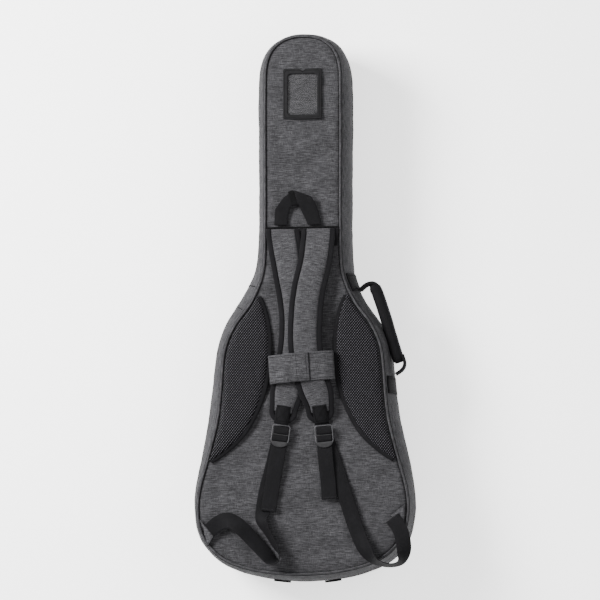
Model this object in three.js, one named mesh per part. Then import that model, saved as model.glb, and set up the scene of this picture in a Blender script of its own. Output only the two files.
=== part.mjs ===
// Padded gig bag for an acoustic guitar, lying on its front pockets with its shoulder straps
// uppermost.  Millimetres; +Z up, +Y towards the neck end, +X to the right of someone looking
// down on the back panel.  The origin is on the resting plane, on the bag's centreline.

import * as THREE from 'three';

// ---------------------------------------------------------------- driving dimensions

const ZIP_Z = 96.5; // height of the main zip, half way up the case
const HALF_DEPTH = 64; // from the zip to the outside of either panel
const BACK_Z = ZIP_Z + HALF_DEPTH; // outside of the back panel
const PANEL = 10; // padded panel thickness
const WALL = 7; // padded side wall thickness
const GAP = 0.4; // clearance between neighbouring pieces
const PIPING = 2.2; // piping radius
const ZIP_TAPE = { recess: 2.5, width: 6.5, low: 0.3, high: 2 }; // inside the wall, and off the zip
const SEAM_Y = 158; // cross seam that holds the straps and the haul loop
const WEBBING = 30; // webbing width
const WEBBING_THICK = 1.8;

// Right half of the back panel's outline: x, y, how far the side wall bulges past it, and how
// far it bulges at the mirrored place on the left where that differs.
const CASE_OUTLINE = [
  [0, 547, 11], [34, 541, 12], [60, 522, 15], [73, 490, 17], [75.5, 450, 18],
  [75.5, 295, 18], [75.5, 140, 18], [79.5, 68, 19, 24], [104, 8, 18, 29], [134, -33, 17, 25],
  [155, -82, 17, 22], [162, -150, 17, 24], [169, -220, 19, 25], [188, -300, 18, 20], [205, -362, 11, 15],
  [208, -412, 7, 11], [196, -458, 4, 10], [160, -497, 4, 9], [95, -521, 8], [0, -530, 10],
];
const POCKET_OUTLINE = [
  [0, 30, 0], [45, 24, 0], [80, -10, 0], [118, -62, 0], [138, -120, 0], [146, -200, 0],
  [166, -290, 0], [184, -365, 0], [186, -415, 0], [168, -462, 0], [112, -496, 0], [0, -510, 0],
];
const NECK_POCKET_OUTLINE = [
  [0, 430, 0], [40, 427, 0], [56, 404, 0], [56, 290, 0], [56, 190, 0], [44, 156, 0], [0, 150, 0],
];

const HINGE_LOW = -492; // the fabric hinge runs along the left of the lower bout
const HINGE_HIGH = -290;

const POCKET_HEIGHT = 32.1; // the pockets' walls, from the floor to the front panel
const POCKET_PANEL = 5;
const POCKET_WALL = 3;
const POCKET_ZIP = { low: 13, high: 23, thick: 1.6 };

// Inner edge of the right mesh pad, from its top tip to its bottom tip.
const PAD_INNER = [
  [86, 30], [73, 2], [63, -40], [60, -80], [64, -137],
  [75, -181], [90, -218], [114, -257], [140, -283], [166, -303], [186, -314],
];
const PAD_BINDING = 12; // width
const PAD_THICK = 6;
const PAD_BINDING_THICK = 2;

// Strap centrelines from the cross seam to the buckle: x, y, height of the middle, half thickness.
const LEFT_STRAP = [
  [-39, 155.8, 163, 1.8], [-38.9, 148, 163.4, 1.8], [-34, 120, 166.3, 3], [-25, 70, 169, 4.5],
  [-15, 15, 169.5, 4.5], [-11, -35, 169.5, 4.5], [-14, -84, 169.5, 4.5], [-24, -145, 169.5, 4.5],
  [-33, -186, 168.2, 3.8], [-37.5, -211, 167, 3],
];
const RIGHT_STRAP = [
  [32, 155.8, 163.2, 1.8], [32, 146, 165.2, 1.8], [31, 126, 171.4, 3], [27, 88, 176, 4.5],
  [14, 30, 178.9, 4.5], [8, -25, 178.9, 4.5], [8, -84, 178.9, 4.5], [20, -145, 178.9, 4.5],
  [32, -184, 173, 3.8], [36, -211, 167, 3],
];
const STRAP_HALF_WIDTH = 34;
const STRAP_END_HALF_WIDTH = 28;
const STRAP_END_LENGTH = 21; // of the rounded end, past the last station
const STRAP_TAPER_START = 0.88; // share of the length where the strap begins to narrow
const STRAP_BINDING = 11;
const STRAP_PATCH_REACH = 18; // how far the webbing patch runs past the last station

// Grip wrap, in its own frame: the straps run across it.
const WRAP = { x: 0, y: -120, turn: THREE.MathUtils.degToRad(5), length: 54 };

const BUCKLE = { width: 38, length: 45, thick: 4, bar: 4.2, slot: 7, corner: 7, z: 164.6 };
const LEFT_BUCKLE = { x: -43, y: -258, turn: THREE.MathUtils.degToRad(-8) };
const RIGHT_BUCKLE = { x: 44, y: -259.5, turn: THREE.MathUtils.degToRad(5) };

// Webbing routes: x, y, height of the middle, roll in degrees (0 flat, 90 on edge).
const LEFT_TAIL = [
  [-45.5, -273, 171, 0], [-52, -315, 168, 0], [-60, -362, 166, 0], [-67, -407, 166, 0],
];
const RIGHT_TAIL = [
  [44.5, -273, 171, 0], [47, -307, 167.8, 0], [51, -345, 165.5, 0], [54, -384, 165.5, 0],
];
const LEFT_LOWER_WEBBING = [
  [-45, -262, 162.4, 0], [-58, -315, 162.4, 0], [-72, -370, 162.4, 0], [-78, -408, 162.6, 0],
  [-79, -424, 169, 34], [-70, -444, 174.5, 58], [-53, -474, 176.5, 66], [-44, -496, 177.5, 84],
  [-52, -507, 177.5, 88], [-70, -492, 176, 50], [-98, -462, 174, 22], [-126, -434, 176, 10],
  [-148, -424, 174, 0], [-167, -430, 169, 0], [-184, -444, 165.6, 0],
];
const RIGHT_LOWER_WEBBING = [
  [46, -262, 162.4, 0], [66, -318, 162.4, 0], [90, -392, 162.6, 0], [106, -440, 164.5, 3],
  [124, -482, 171, 22], [147, -508, 177, 66], [174, -516, 178, 80], [194, -511, 178, 74],
  [201, -492, 177, 34], [200, -468, 174, 6], [192, -442, 170, 0], [178, -422, 165.6, 0],
];

const SEAM_TAPE = { halfWidth: 72, below: 1, above: 2.5, top: BACK_Z + 2.5 };
const HAUL_LOOP = [
  [-42.5, 164.5], [-42, 188], [-27, 211], [-7, 219], [10, 204], [22.5, 182], [24.5, 164.5],
];
const HAUL_LOOP_WIDTH = 28;
const HAUL_LOOP_THICK = 2.4;

// Side handle: the padded grip runs straight between these points.
const GRIP_TOP = new THREE.Vector3(146, 41, 127);
const GRIP_BOTTOM = new THREE.Vector3(192, -112, 127);
const GRIP_RADIUS = 11;
const HANDLE_END_THICK = 2.4;
const HANDLE_UPPER_END = [[112.5, 43], [117, 49.5], [125, 53.5], [135, 53.5], [143.5, 46.5]];
const HANDLE_LOWER_END = [[194, -117.5], [196, -127], [194, -135.5], [189, -141.5], [184.5, -143]];
const HANDLE_PATCH = { inside: 1.8, outside: 3.4, low: 7, high: 55 }; // off the wall, and off the zip

const FOOT = { x: 45, halfWidth: 20, thick: 4.4, low: 9, high: 38 }; // low and high are off the zip

const SLIDER = { length: 14, thick: 2.5, pullLength: 31, pullThick: 1.2, pullInset: 2.5 };

// ---------------------------------------------------------------- looks

const LOOKS = {
  heather: { color: 0x514f53, roughness: 0.95 },
  webbing: { color: 0x2a2a2e, roughness: 0.85 },
  binding: { color: 0x2e2e32, roughness: 0.8 },
  mesh: { color: 0x2b2b30, roughness: 0.95 },
  plush: { color: 0x5a5a5e, roughness: 1 },
  foam: { color: 0x3c3c40, roughness: 1 },
  film: { color: 0x8a8a90, roughness: 0.2, transparent: true, opacity: 0.4 },
  plastic: { color: 0x26262a, roughness: 0.45 },
  rubber: { color: 0x1c1c1e, roughness: 0.8 },
  zipTape: { color: 0x1e1e20, roughness: 0.85 },
  zipMetal: { color: 0x3a3a3d, roughness: 0.35, metalness: 0.9 },
};

// ---------------------------------------------------------------- geometry helpers

/** Faces of a flat end cap, wound with the section's own corners, or against them. */
function capFaces(section, start, against) {
  const normal = new THREE.Vector3();
  section.forEach((here, i) => normal.add(here.clone().cross(section[(i + 1) % section.length])));
  const turn = new THREE.Quaternion().setFromUnitVectors(normal.normalize(), new THREE.Vector3(0, 0, 1));
  const flat = section.map((corner) => corner.clone().applyQuaternion(turn));
  const contour = flat.map((corner) => new THREE.Vector2(corner.x, corner.y));
  return THREE.ShapeUtils.triangulateShape(contour, []).map((face) => {
    const upward = THREE.ShapeUtils.area(face.map((i) => contour[i])) > 0;
    const wound = upward === against ? [...face].reverse() : face;
    return wound.map((i) => i + start);
  });
}

/** Volume inside a closed set of faces: negative when they face inwards. */
function signedVolume(points, faces) {
  const tetrahedron = ([a, b, c]) => points[a].dot(points[b].clone().cross(points[c])) / 6;
  return faces.reduce((sum, face) => sum + tetrahedron(face), 0);
}

/** Closed solid skinned over sections with equal corner counts; a ring also joins last to first. */
function skin(sections, ring = false) {
  const corners = sections[0].length;
  const points = sections.flat();
  const faces = [];
  const spans = ring ? sections.length : sections.length - 1;
  for (let i = 0; i < spans; i += 1) {
    const here = i * corners;
    const next = ((i + 1) % sections.length) * corners;
    for (let j = 0; j < corners; j += 1) {
      const k = (j + 1) % corners;
      faces.push([here + j, here + k, next + k], [here + j, next + k, next + j]);
    }
  }
  if (!ring) {
    faces.push(...capFaces(sections[0], 0, true));
    faces.push(...capFaces(sections.at(-1), points.length - corners, false));
  }
  const outward = signedVolume(points, faces) > 0 ? faces : faces.map((face) => [...face].reverse());
  const geometry = new THREE.BufferGeometry().setFromPoints(points);
  geometry.setIndex(outward.flat());
  geometry.computeVertexNormals();
  return geometry;
}

/** Smooth closed outline from its right half: stations with x, y, bulge and outward direction. */
function closedOutline(rightHalf, steps) {
  const leftHalf = rightHalf.slice(1, -1).reverse()
    .map(([x, y, bulge, leftBulge = bulge]) => [-x, y, leftBulge]);
  const corners = [...rightHalf, ...leftHalf].map(([x, y, bulge]) => new THREE.Vector3(x, y, bulge));
  const curve = new THREE.CatmullRomCurve3(corners, true, 'centripetal');
  const points = curve.getPoints(corners.length * steps).slice(0, -1);
  return points.map((point, i) => {
    const before = points.at(i - 1);
    const after = points[(i + 1) % points.length];
    const along = new THREE.Vector2(after.x - before.x, after.y - before.y).normalize();
    return { x: point.x, y: point.y, bulge: point.z, out: new THREE.Vector2(-along.y, along.x) };
  });
}

/** The point that lies u outside a station of an outline, at height z. */
function outside(station, u, z) {
  return new THREE.Vector3(station.x + station.out.x * u, station.y + station.out.y * u, z);
}

/** Sweeps a section along outline stations; section(station) gives its corners as [u, z]. */
function sweep(stations, section, ring = true) {
  const sections = stations.map((station) => section(station).map(([u, z]) => outside(station, u, z)));
  return skin(sections, ring);
}

/** Flat plate between two heights inside a closed loop of [x, y] points. */
function plate(loop, low, high) {
  const level = (z) => loop.map(([x, y]) => new THREE.Vector3(x, y, z));
  return skin([level(low), level(high)]);
}

/** The outline moved outwards by u, as a loop of [x, y] points. */
function offsetLoop(stations, u) {
  return stations.map((station) => [station.x + station.out.x * u, station.y + station.out.y * u]);
}

/** Smooth path of any number of values through control points. */
function smoothPath(points, count) {
  const places = points.map(([x, y, z = 0]) => new THREE.Vector3(x, y, z));
  const curve = new THREE.CatmullRomCurve3(places, false, 'centripetal');
  return Array.from({ length: count + 1 }, (_, i) => {
    const t = i / count;
    const at = t * (points.length - 1);
    const k = Math.min(Math.floor(at), points.length - 2);
    const extra = THREE.MathUtils.lerp(points[k][3] ?? 0, points[k + 1][3] ?? 0, at - k);
    const along = curve.getTangent(t);
    const side = new THREE.Vector3(-along.y, along.x, 0).normalize();
    return { point: curve.getPoint(t), along, side, extra };
  });
}

/** Strip of webbing along a route of x, y, z and roll. */
function ribbon(route, count, width = WEBBING, thick = WEBBING_THICK) {
  const sections = smoothPath(route, count).map(({ point, along, side, extra }) => {
    const across = side.clone().applyAxisAngle(along, THREE.MathUtils.degToRad(extra));
    const normal = along.clone().cross(across).normalize();
    const corner = (a, n) => point.clone()
      .addScaledVector(across, a * width / 2)
      .addScaledVector(normal, n * thick / 2);
    return [corner(-1, -1), corner(1, -1), corner(1, 1), corner(-1, 1)];
  });
  return skin(sections);
}

/** Strip that stands on edge between two heights, along a route in the plane. */
function standingStrip(route, count, low, high, thick) {
  const sections = smoothPath(route, count).map(({ point, side }) => {
    const half = thick / 2;
    const corner = (n, z) => new THREE.Vector3(point.x + side.x * n, point.y + side.y * n, z);
    return [corner(-half, low), corner(half, low), corner(half, high), corner(-half, high)];
  });
  return skin(sections);
}

/** A box between two corners. */
function box([x0, y0, z0], [x1, y1, z1]) {
  const geometry = new THREE.BoxGeometry(x1 - x0, y1 - y0, z1 - z0);
  return geometry.translate((x0 + x1) / 2, (y0 + y1) / 2, (z0 + z1) / 2);
}

/** A profile in x and z, run along y between two places. */
function profileAlongY(profile, y0, y1) {
  const level = (y) => profile.map(([x, z]) => new THREE.Vector3(x, y, z));
  return skin([level(y0), level(y1)]);
}

/** One named piece. */
function piece(name, geometry, look) {
  const material = new THREE.MeshStandardMaterial({ metalness: 0, ...LOOKS[look] });
  const mesh = new THREE.Mesh(geometry, material);
  mesh.name = name;
  return mesh;
}

/** Collects pieces into a group that can be placed as one. */
function assembly(...pieces) {
  const group = new THREE.Group();
  group.add(...pieces);
  return group;
}

// ---------------------------------------------------------------- the two shells

const caseRing = closedOutline(CASE_OUTLINE, 2);
const fineRing = closedOutline(CASE_OUTLINE, 6);

const WALL_HEIGHTS = [2.3, 24, 45, 59.4]; // where a side wall bends, away from the zip

/** Outer surface of a side wall, d away from the zip: linear between the wall's heights. */
function wallOuter(bulge, d) {
  const reach = [bulge, 0.93 * bulge, 0.62 * bulge + 0.8, 2];
  const i = WALL_HEIGHTS.findIndex((height) => d <= height);
  if (i <= 0) return reach[0];
  const share = (d - WALL_HEIGHTS[i - 1]) / (WALL_HEIGHTS[i] - WALL_HEIGHTS[i - 1]);
  return THREE.MathUtils.lerp(reach[i - 1], reach[i], share);
}

/** Padded side wall of one shell: side is +1 for the back shell and -1 for the front shell. */
function sideWall(side) {
  const panelInside = HALF_DEPTH - PANEL;
  return sweep(caseRing, ({ bulge }) => [
    ...WALL_HEIGHTS.map((d) => [wallOuter(bulge, d), ZIP_Z + side * d]),
    [-PIPING, ZIP_Z + side * (panelInside - 0.6)],
    [bulge - WALL, ZIP_Z + side * WALL_HEIGHTS[0]],
  ]);
}

/** Fabric-covered piping round the edge of one panel. */
function pipingRing(side) {
  const middle = ZIP_Z + side * (HALF_DEPTH - PIPING + GAP);
  return sweep(caseRing, () => [
    [PIPING, middle], [0, middle + PIPING], [-PIPING, middle], [0, middle - PIPING],
  ]);
}

const LINING = 1.5; // thickness
const LINING_INSET = 12;
const panelLoop = offsetLoop(caseRing, -PIPING - GAP);
const liningLoop = offsetLoop(caseRing, -LINING_INSET);

/** Stations along the zip, from the top of the fabric hinge round to its bottom. */
function splitAtHinge() {
  const onHinge = ({ x, y }) => x < 0 && y > HINGE_LOW && y < HINGE_HIGH;
  const first = caseRing.findIndex(onHinge);
  const hinge = caseRing.filter(onHinge);
  const zip = [...caseRing.slice(first + hinge.length), ...caseRing.slice(0, first)];
  return { hinge, zip };
}

const { hinge: hingeStations, zip: zipStations } = splitAtHinge();

/** One half of the main zip: a recessed tape between the walls. */
function zipTape(side) {
  const { recess, width, low, high } = ZIP_TAPE;
  const [near, far] = [ZIP_Z + side * low, ZIP_Z + side * high];
  return sweep(zipStations, ({ bulge }) => [
    [bulge - recess - width, near], [bulge - recess, near],
    [bulge - recess, far], [bulge - recess - width, far],
  ], false);
}

function frontShell() {
  const hingeStrip = sweep(hingeStations, ({ bulge }) => [
    [bulge - 6, ZIP_Z - 1.9], [bulge, ZIP_Z - 1.9], [bulge, ZIP_Z + 0.9], [bulge - 6, ZIP_Z + 0.9],
  ], false);
  const face = ZIP_Z - HALF_DEPTH;
  const inside = face + PANEL;
  return assembly(
    piece('front_panel', plate(panelLoop, face, inside), 'heather'),
    piece('front_gusset', sideWall(-1), 'heather'),
    piece('front_piping', pipingRing(-1), 'heather'),
    piece('front_lining', plate(liningLoop, inside + GAP, inside + GAP + LINING), 'plush'),
    piece('front_zip_tape', zipTape(-1), 'zipTape'),
    piece('hinge_strip', hingeStrip, 'heather'),
    piece('foot_left', foot(-FOOT.x), 'rubber'),
    piece('foot_right', foot(FOOT.x), 'rubber'),
  );
}

/** Rubber foot on the bottom of the front wall, centred at x. */
function foot(x) {
  const { halfWidth, thick } = FOOT;
  const [low, bend, high] = [FOOT.low, WALL_HEIGHTS[1], FOOT.high];
  const stations = fineRing.filter((station) => station.y < 0 && Math.abs(station.x - x) < halfWidth);
  return sweep(stations, ({ bulge }) => [
    ...[low, bend, high].map((d) => [wallOuter(bulge, d) + GAP, ZIP_Z - d]),
    ...[high, bend, low].map((d) => [wallOuter(bulge, d) + thick, ZIP_Z - d]),
  ], false);
}

/** The part of a loop above (sign +1) or below (sign -1) a level line, closed along the line. */
function loopBeyond(loop, level, sign, edge) {
  const cut = level + sign * edge;
  const kept = loop.map(([x, y]) => [x, y, sign * (y - cut) > 0]);
  const right = kept.filter(([x, , keep]) => keep && x >= 0).map(([x, y]) => [x, y]);
  const left = kept.filter(([x, , keep]) => keep && x < 0).map(([x, y]) => [x, y]);
  const neckHalfWidth = CASE_OUTLINE[5][0] - PIPING - GAP;
  const corners = [[neckHalfWidth, cut], [-neckHalfWidth, cut]];
  return sign > 0 ? [...right, ...corners, ...left] : [corners[0], ...right, ...left, corners[1]];
}

function backShell() {
  const inside = BACK_Z - PANEL;
  const upper = loopBeyond(panelLoop, SEAM_Y, 1, GAP / 2);
  const lower = loopBeyond(panelLoop, SEAM_Y, -1, GAP / 2);
  const seamTape = box(
    [-SEAM_TAPE.halfWidth, SEAM_Y - SEAM_TAPE.below, BACK_Z + GAP],
    [SEAM_TAPE.halfWidth, SEAM_Y + SEAM_TAPE.above, SEAM_TAPE.top],
  );
  return assembly(
    piece('back_panel_upper', plate(upper, inside, BACK_Z), 'heather'),
    piece('back_panel_lower', plate(lower, inside, BACK_Z), 'heather'),
    piece('back_gusset', sideWall(1), 'heather'),
    piece('back_piping', pipingRing(1), 'heather'),
    piece('back_lining', plate(liningLoop, inside - GAP - LINING, inside - GAP), 'plush'),
    piece('back_zip_tape', zipTape(1), 'zipTape'),
    piece('seam_tape', seamTape, 'binding'),
  );
}

// ---------------------------------------------------------------- pockets on the front

function pockets() {
  const ring = closedOutline(POCKET_OUTLINE, 2);
  const wall = sweep(ring, () => [
    [0, POCKET_PANEL + GAP], [0, POCKET_HEIGHT],
    [-POCKET_WALL, POCKET_HEIGHT], [-POCKET_WALL, POCKET_PANEL + GAP],
  ]);
  const zipRun = ring.filter(({ x, y }) => x > 0 && y < -15 && y > -455);
  const neckRing = closedOutline(NECK_POCKET_OUTLINE, 2);
  const level = (u, z) => offsetLoop(neckRing, u).map(([x, y]) => new THREE.Vector3(x, y, z));
  const neckTray = skin([
    level(-POCKET_WALL, POCKET_PANEL), level(-POCKET_WALL, POCKET_HEIGHT),
    level(0, POCKET_HEIGHT), level(0, 0),
  ]);
  const neckZipRun = neckRing.filter(({ x, y }) => x > 50 && y < 415 && y > 170);
  return assembly(
    piece('pocket_panel', plate(offsetLoop(ring, 0), 0, POCKET_PANEL), 'heather'),
    piece('pocket_wall', wall, 'heather'),
    piece('pocket_zip', pocketZip(zipRun), 'zipTape'),
    piece('neck_pocket', neckTray, 'heather'),
    piece('neck_pocket_zip', pocketZip(neckZipRun), 'zipTape'),
  );
}

/** Zip tape on the outside of a pocket's wall. */
function pocketZip(stations) {
  return sweep(stations, () => [
    [GAP, POCKET_ZIP.low], [POCKET_ZIP.thick, POCKET_ZIP.low],
    [POCKET_ZIP.thick, POCKET_ZIP.high], [GAP, POCKET_ZIP.high],
  ], false);
}

// ---------------------------------------------------------------- pieces on the back panel

/** A mesh pad with its inner edge binding: side is -1 for the left and +1 for the right. */
function meshPad(side, name) {
  const low = BACK_Z + GAP;
  const inner = smoothPath(PAD_INNER, 24);
  const place = (point, across, shift) => [point.x + across.x * shift, point.y + across.y * shift];
  const outward = inner.map(({ point, side: across }) => place(point, across, PAD_BINDING + GAP));
  const bindingLoop = [
    ...inner.map(({ point }) => [point.x, point.y]),
    ...inner.slice(1, -1).reverse().map(({ point, side: across }) => place(point, across, PAD_BINDING)),
  ];
  const tipTrim = 3;
  const rim = caseRing.filter(({ x, y }) => x > 0 && y < 2 && y > -300);
  const padLoop = [
    ...outward.slice(tipTrim, -tipTrim),
    ...offsetLoop(rim, -PIPING - 2).reverse(),
  ];
  const mirrored = (loop) => loop.map(([x, y]) => [side * x, y]);
  return [
    piece(`mesh_pad_${name}`, plate(mirrored(padLoop), low, low + PAD_THICK), 'mesh'),
    piece(`mesh_binding_${name}`, plate(mirrored(bindingLoop), low, low + PAD_BINDING_THICK), 'binding'),
  ];
}

/** Luggage-tag pocket: a frame with a notch at its top, round a clear window. */
function tagPocket() {
  const low = BACK_Z + GAP;
  const [halfWidth, bottom, top] = [38.5, 378, 480];
  const [windowHalf, windowBottom, windowTop, corner] = [30, 386, 470, 8];
  const [notchHalf, notchDepth] = [7, 6];
  const outline = [
    [-halfWidth, bottom], [halfWidth, bottom], [halfWidth, top],
    [notchHalf, top], [0, top - notchDepth], [-notchHalf, top], [-halfWidth, top],
  ];
  const rounded = (inset) => {
    const shape = new THREE.Path();
    const [x, y0, y1] = [windowHalf - inset, windowBottom + inset, windowTop - inset];
    shape.moveTo(x, y0 + corner);
    shape.absarc(x - corner, y1 - corner, corner, 0, Math.PI / 2);
    shape.absarc(-x + corner, y1 - corner, corner, Math.PI / 2, Math.PI);
    shape.absarc(-x + corner, y0 + corner, corner, Math.PI, 1.5 * Math.PI);
    shape.absarc(x - corner, y0 + corner, corner, 1.5 * Math.PI, 2 * Math.PI);
    return shape.getPoints(3);
  };
  const frameShape = new THREE.Shape(outline.map(([x, y]) => new THREE.Vector2(x, y)));
  frameShape.holes.push(new THREE.Path(rounded(0)));
  const frame = new THREE.ExtrudeGeometry(frameShape, { depth: 2, bevelEnabled: false });
  const filmShape = new THREE.Shape(rounded(GAP));
  const film = new THREE.ExtrudeGeometry(filmShape, { depth: 0.6, bevelEnabled: false });
  return [
    piece('tag_frame', frame.translate(0, 0, low), 'binding'),
    piece('tag_window', film.translate(0, 0, low + 0.4), 'film'),
  ];
}

function cornerTabs() {
  const low = BACK_Z + 3 * GAP;
  const left = [[-203, -421], [-172, -453], [-181, -467]];
  const right = [[202, -397], [160, -427], [200, -440]];
  return [
    piece('corner_tab_left', plate(left, low, low + 2.4), 'heather'),
    piece('corner_tab_right', plate(right, low, low + 2.4), 'heather'),
  ];
}

// ---------------------------------------------------------------- haul loop and side handle

function haulLoop() {
  const height = (y) => Math.min(162.3 + (y - SEAM_Y - 5) * 0.08, 166);
  const route = HAUL_LOOP.map(([x, y]) => [x, y, height(y), 0]);
  return piece('haul_loop', ribbon(route, 20, HAUL_LOOP_WIDTH, HAUL_LOOP_THICK), 'webbing');
}

/** Reinforcing patch on the back shell's right wall, between two places along it. */
function handlePatch(name, low, high) {
  const stations = fineRing.filter(({ x, y }) => x > 0 && y > low && y < high);
  const heights = [HANDLE_PATCH.low, WALL_HEIGHTS[1], WALL_HEIGHTS[2], HANDLE_PATCH.high];
  const geometry = sweep(stations, ({ bulge }) => [
    ...heights.map((d) => [wallOuter(bulge, d) + HANDLE_PATCH.inside, ZIP_Z + d]),
    ...[...heights].reverse().map((d) => [wallOuter(bulge, d) + HANDLE_PATCH.outside, ZIP_Z + d]),
  ], false);
  return piece(name, geometry, 'webbing');
}

function sideHandle() {
  const along = GRIP_BOTTOM.clone().sub(GRIP_TOP);
  const length = along.length();
  const turn = new THREE.Quaternion().setFromUnitVectors(new THREE.Vector3(0, 0, 1), along.normalize());
  const rings = [[0, 0.6], [0.04, 0.95], [0.1, 1], [0.5, 1.04], [0.9, 1], [0.96, 0.95], [1, 0.6]];
  const corners = 12;
  const sections = rings.map(([share, scale]) => Array.from({ length: corners }, (_, i) => {
    const angle = 2 * Math.PI * i / corners;
    const radius = GRIP_RADIUS * scale;
    const [x, y] = [radius * Math.cos(angle), radius * Math.sin(angle)];
    return new THREE.Vector3(x, y, share * length).applyQuaternion(turn).add(GRIP_TOP);
  }));
  const [low, high] = [GRIP_TOP.z - GRIP_RADIUS, GRIP_TOP.z + GRIP_RADIUS];
  const end = (name, route) => (
    piece(name, standingStrip(route, 10, low, high, HANDLE_END_THICK), 'webbing'));
  return assembly(
    piece('handle_grip', skin(sections), 'webbing'),
    end('handle_end_upper', HANDLE_UPPER_END),
    end('handle_end_lower', HANDLE_LOWER_END),
  );
}

// ---------------------------------------------------------------- shoulder straps

/** Half the width of a strap at a share of its length. */
function strapHalfWidth(share) {
  const taper = THREE.MathUtils.smoothstep(share, STRAP_TAPER_START, 1);
  return THREE.MathUtils.lerp(STRAP_HALF_WIDTH, STRAP_END_HALF_WIDTH, taper);
}

/** Frames along both edges of a strap and round its lower end, with the way inwards. */
function strapEdge(line) {
  const alongEdge = (sign) => line.map(({ point, side }, i) => {
    const reach = sign * strapHalfWidth(i / (line.length - 1));
    return {
      edge: point.clone().addScaledVector(side, reach),
      inward: side.clone().multiplyScalar(-sign),
    };
  });
  const { point, along, side } = line.at(-1);
  const end = [0.25, 0.5, 0.75].map((share) => {
    const angle = share * Math.PI;
    const across = STRAP_END_HALF_WIDTH * Math.cos(angle);
    const beyond = STRAP_END_LENGTH * Math.sin(angle);
    const edge = point.clone().addScaledVector(side, across).addScaledVector(along, beyond);
    return { edge, inward: point.clone().sub(edge).normalize() };
  });
  return [...alongEdge(1), ...end, ...alongEdge(-1).reverse()];
}

/** The place across a strap's line and above it. */
function beside({ point, side }, across, up) {
  return new THREE.Vector3(point.x + side.x * across, point.y + side.y * across, point.z + up);
}

/** Binding folded round a strap's edge: thin outside, thicker over the core's rim. */
function strapBinding(line) {
  const [rimHalf, innerHalf] = [1, 1.5];
  return skin(strapEdge(line).map(({ edge, inward }) => {
    const inner = edge.clone().addScaledVector(inward, STRAP_BINDING);
    const lift = (place, dz) => new THREE.Vector3(place.x, place.y, place.z + dz);
    return [lift(edge, -rimHalf), lift(inner, -innerHalf), lift(inner, innerHalf), lift(edge, rimHalf)];
  }));
}

/** Padded core between the bindings, thinner along its edges. */
function strapCore(line) {
  const edgeHalf = 1.6;
  return skin(line.map((frame, i) => {
    const half = frame.extra;
    const thin = Math.min(edgeHalf, half);
    const reach = strapHalfWidth(i / (line.length - 1)) - STRAP_BINDING - GAP;
    const section = [[-1, thin], [-0.5, half], [0.5, half], [1, thin]];
    return [
      ...section.map(([a, dz]) => beside(frame, a * reach, -dz)),
      ...section.reverse().map(([a, dz]) => beside(frame, a * reach, dz)),
    ];
  }));
}

/** Webbing patch sewn on a strap's lower end. */
function strapPatch(line) {
  const [low, high] = [1, 2.6];
  const last = line.at(-1);
  const beyond = { ...last, point: last.point.clone().addScaledVector(last.along, STRAP_PATCH_REACH) };
  return skin([...line.slice(-2), beyond].map((frame) => [
    [-WEBBING / 2, low], [WEBBING / 2, low], [WEBBING / 2, high], [-WEBBING / 2, high],
  ].map(([a, dz]) => beside(frame, a, frame.extra + dz))));
}

function strap(name, route) {
  const line = smoothPath(route, 22);
  return [
    piece(`${name}_strap`, strapCore(line), 'heather'),
    piece(`${name}_strap_binding`, strapBinding(line), 'binding'),
    piece(`${name}_strap_patch`, strapPatch(line), 'webbing'),
  ];
}

/** Hook-and-loop wrap that ties the straps together: a tray and two flaps over it. */
function gripWrap() {
  const half = WRAP.length / 2;
  const shapes = {
    wrap_base: [
      [-68, 173.2], [-68, 163.4], [64, 163.4], [64, 178.6], [61.8, 178.6],
      [61.8, 164.9], [-65.8, 164.9], [-65.8, 173.2],
    ],
    wrap_flap_left: [
      [-68, 173.6], [-65.2, 173.6], [-32, 184.2], [-13, 187], [12, 187.2],
      [12, 189.6], [-14, 189.4], [-33, 187], [-62, 178.4], [-68, 175.6],
    ],
    wrap_flap_right: [
      [64, 179], [61, 179], [40, 184.2], [-11, 184.3],
      [-11, 186.5], [40, 186.5], [60, 182.8], [64, 180.8],
    ],
  };
  const group = assembly(...Object.entries(shapes).map(([name, profile]) => (
    piece(name, profileAlongY(profile, -half, half), 'heather'))));
  group.position.set(WRAP.x, WRAP.y, 0);
  group.rotation.z = WRAP.turn;
  return group;
}

// ---------------------------------------------------------------- buckles and zip sliders

/** Ladder lock: a rounded frame with cross bars, and a half-moon tab to lift it by. */
function ladderLock(name, place) {
  const [x, y] = [BUCKLE.width / 2, BUCKLE.length / 2];
  const { corner, slot, bar } = BUCKLE;
  const outline = new THREE.Shape();
  outline.moveTo(x, -y + corner);
  outline.absarc(x - corner, y - corner, corner, 0, Math.PI / 2);
  outline.absarc(-x + corner, y - corner, corner, Math.PI / 2, Math.PI);
  outline.absarc(-x + corner, -y + corner, corner, Math.PI, 1.5 * Math.PI);
  outline.absarc(x - corner, -y + corner, corner, 1.5 * Math.PI, 2 * Math.PI);
  const shape = new THREE.Shape(outline.getPoints(3));
  for (let i = 0; i < 3; i += 1) {
    const middle = y - (i + 1) * bar - (i + 0.5) * slot;
    const [sx, sy] = [x - bar, slot / 2];
    const hole = new THREE.Path();
    hole.moveTo(-sx, middle - sy).lineTo(sx, middle - sy);
    hole.lineTo(sx, middle + sy).lineTo(-sx, middle + sy);
    shape.holes.push(hole);
  }
  const geometry = new THREE.ExtrudeGeometry(shape, { depth: BUCKLE.thick, bevelEnabled: false });
  const lock = piece(name, geometry, 'plastic');
  lock.position.set(place.x, place.y, BUCKLE.z);
  lock.rotation.z = place.turn;
  return lock;
}

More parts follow.
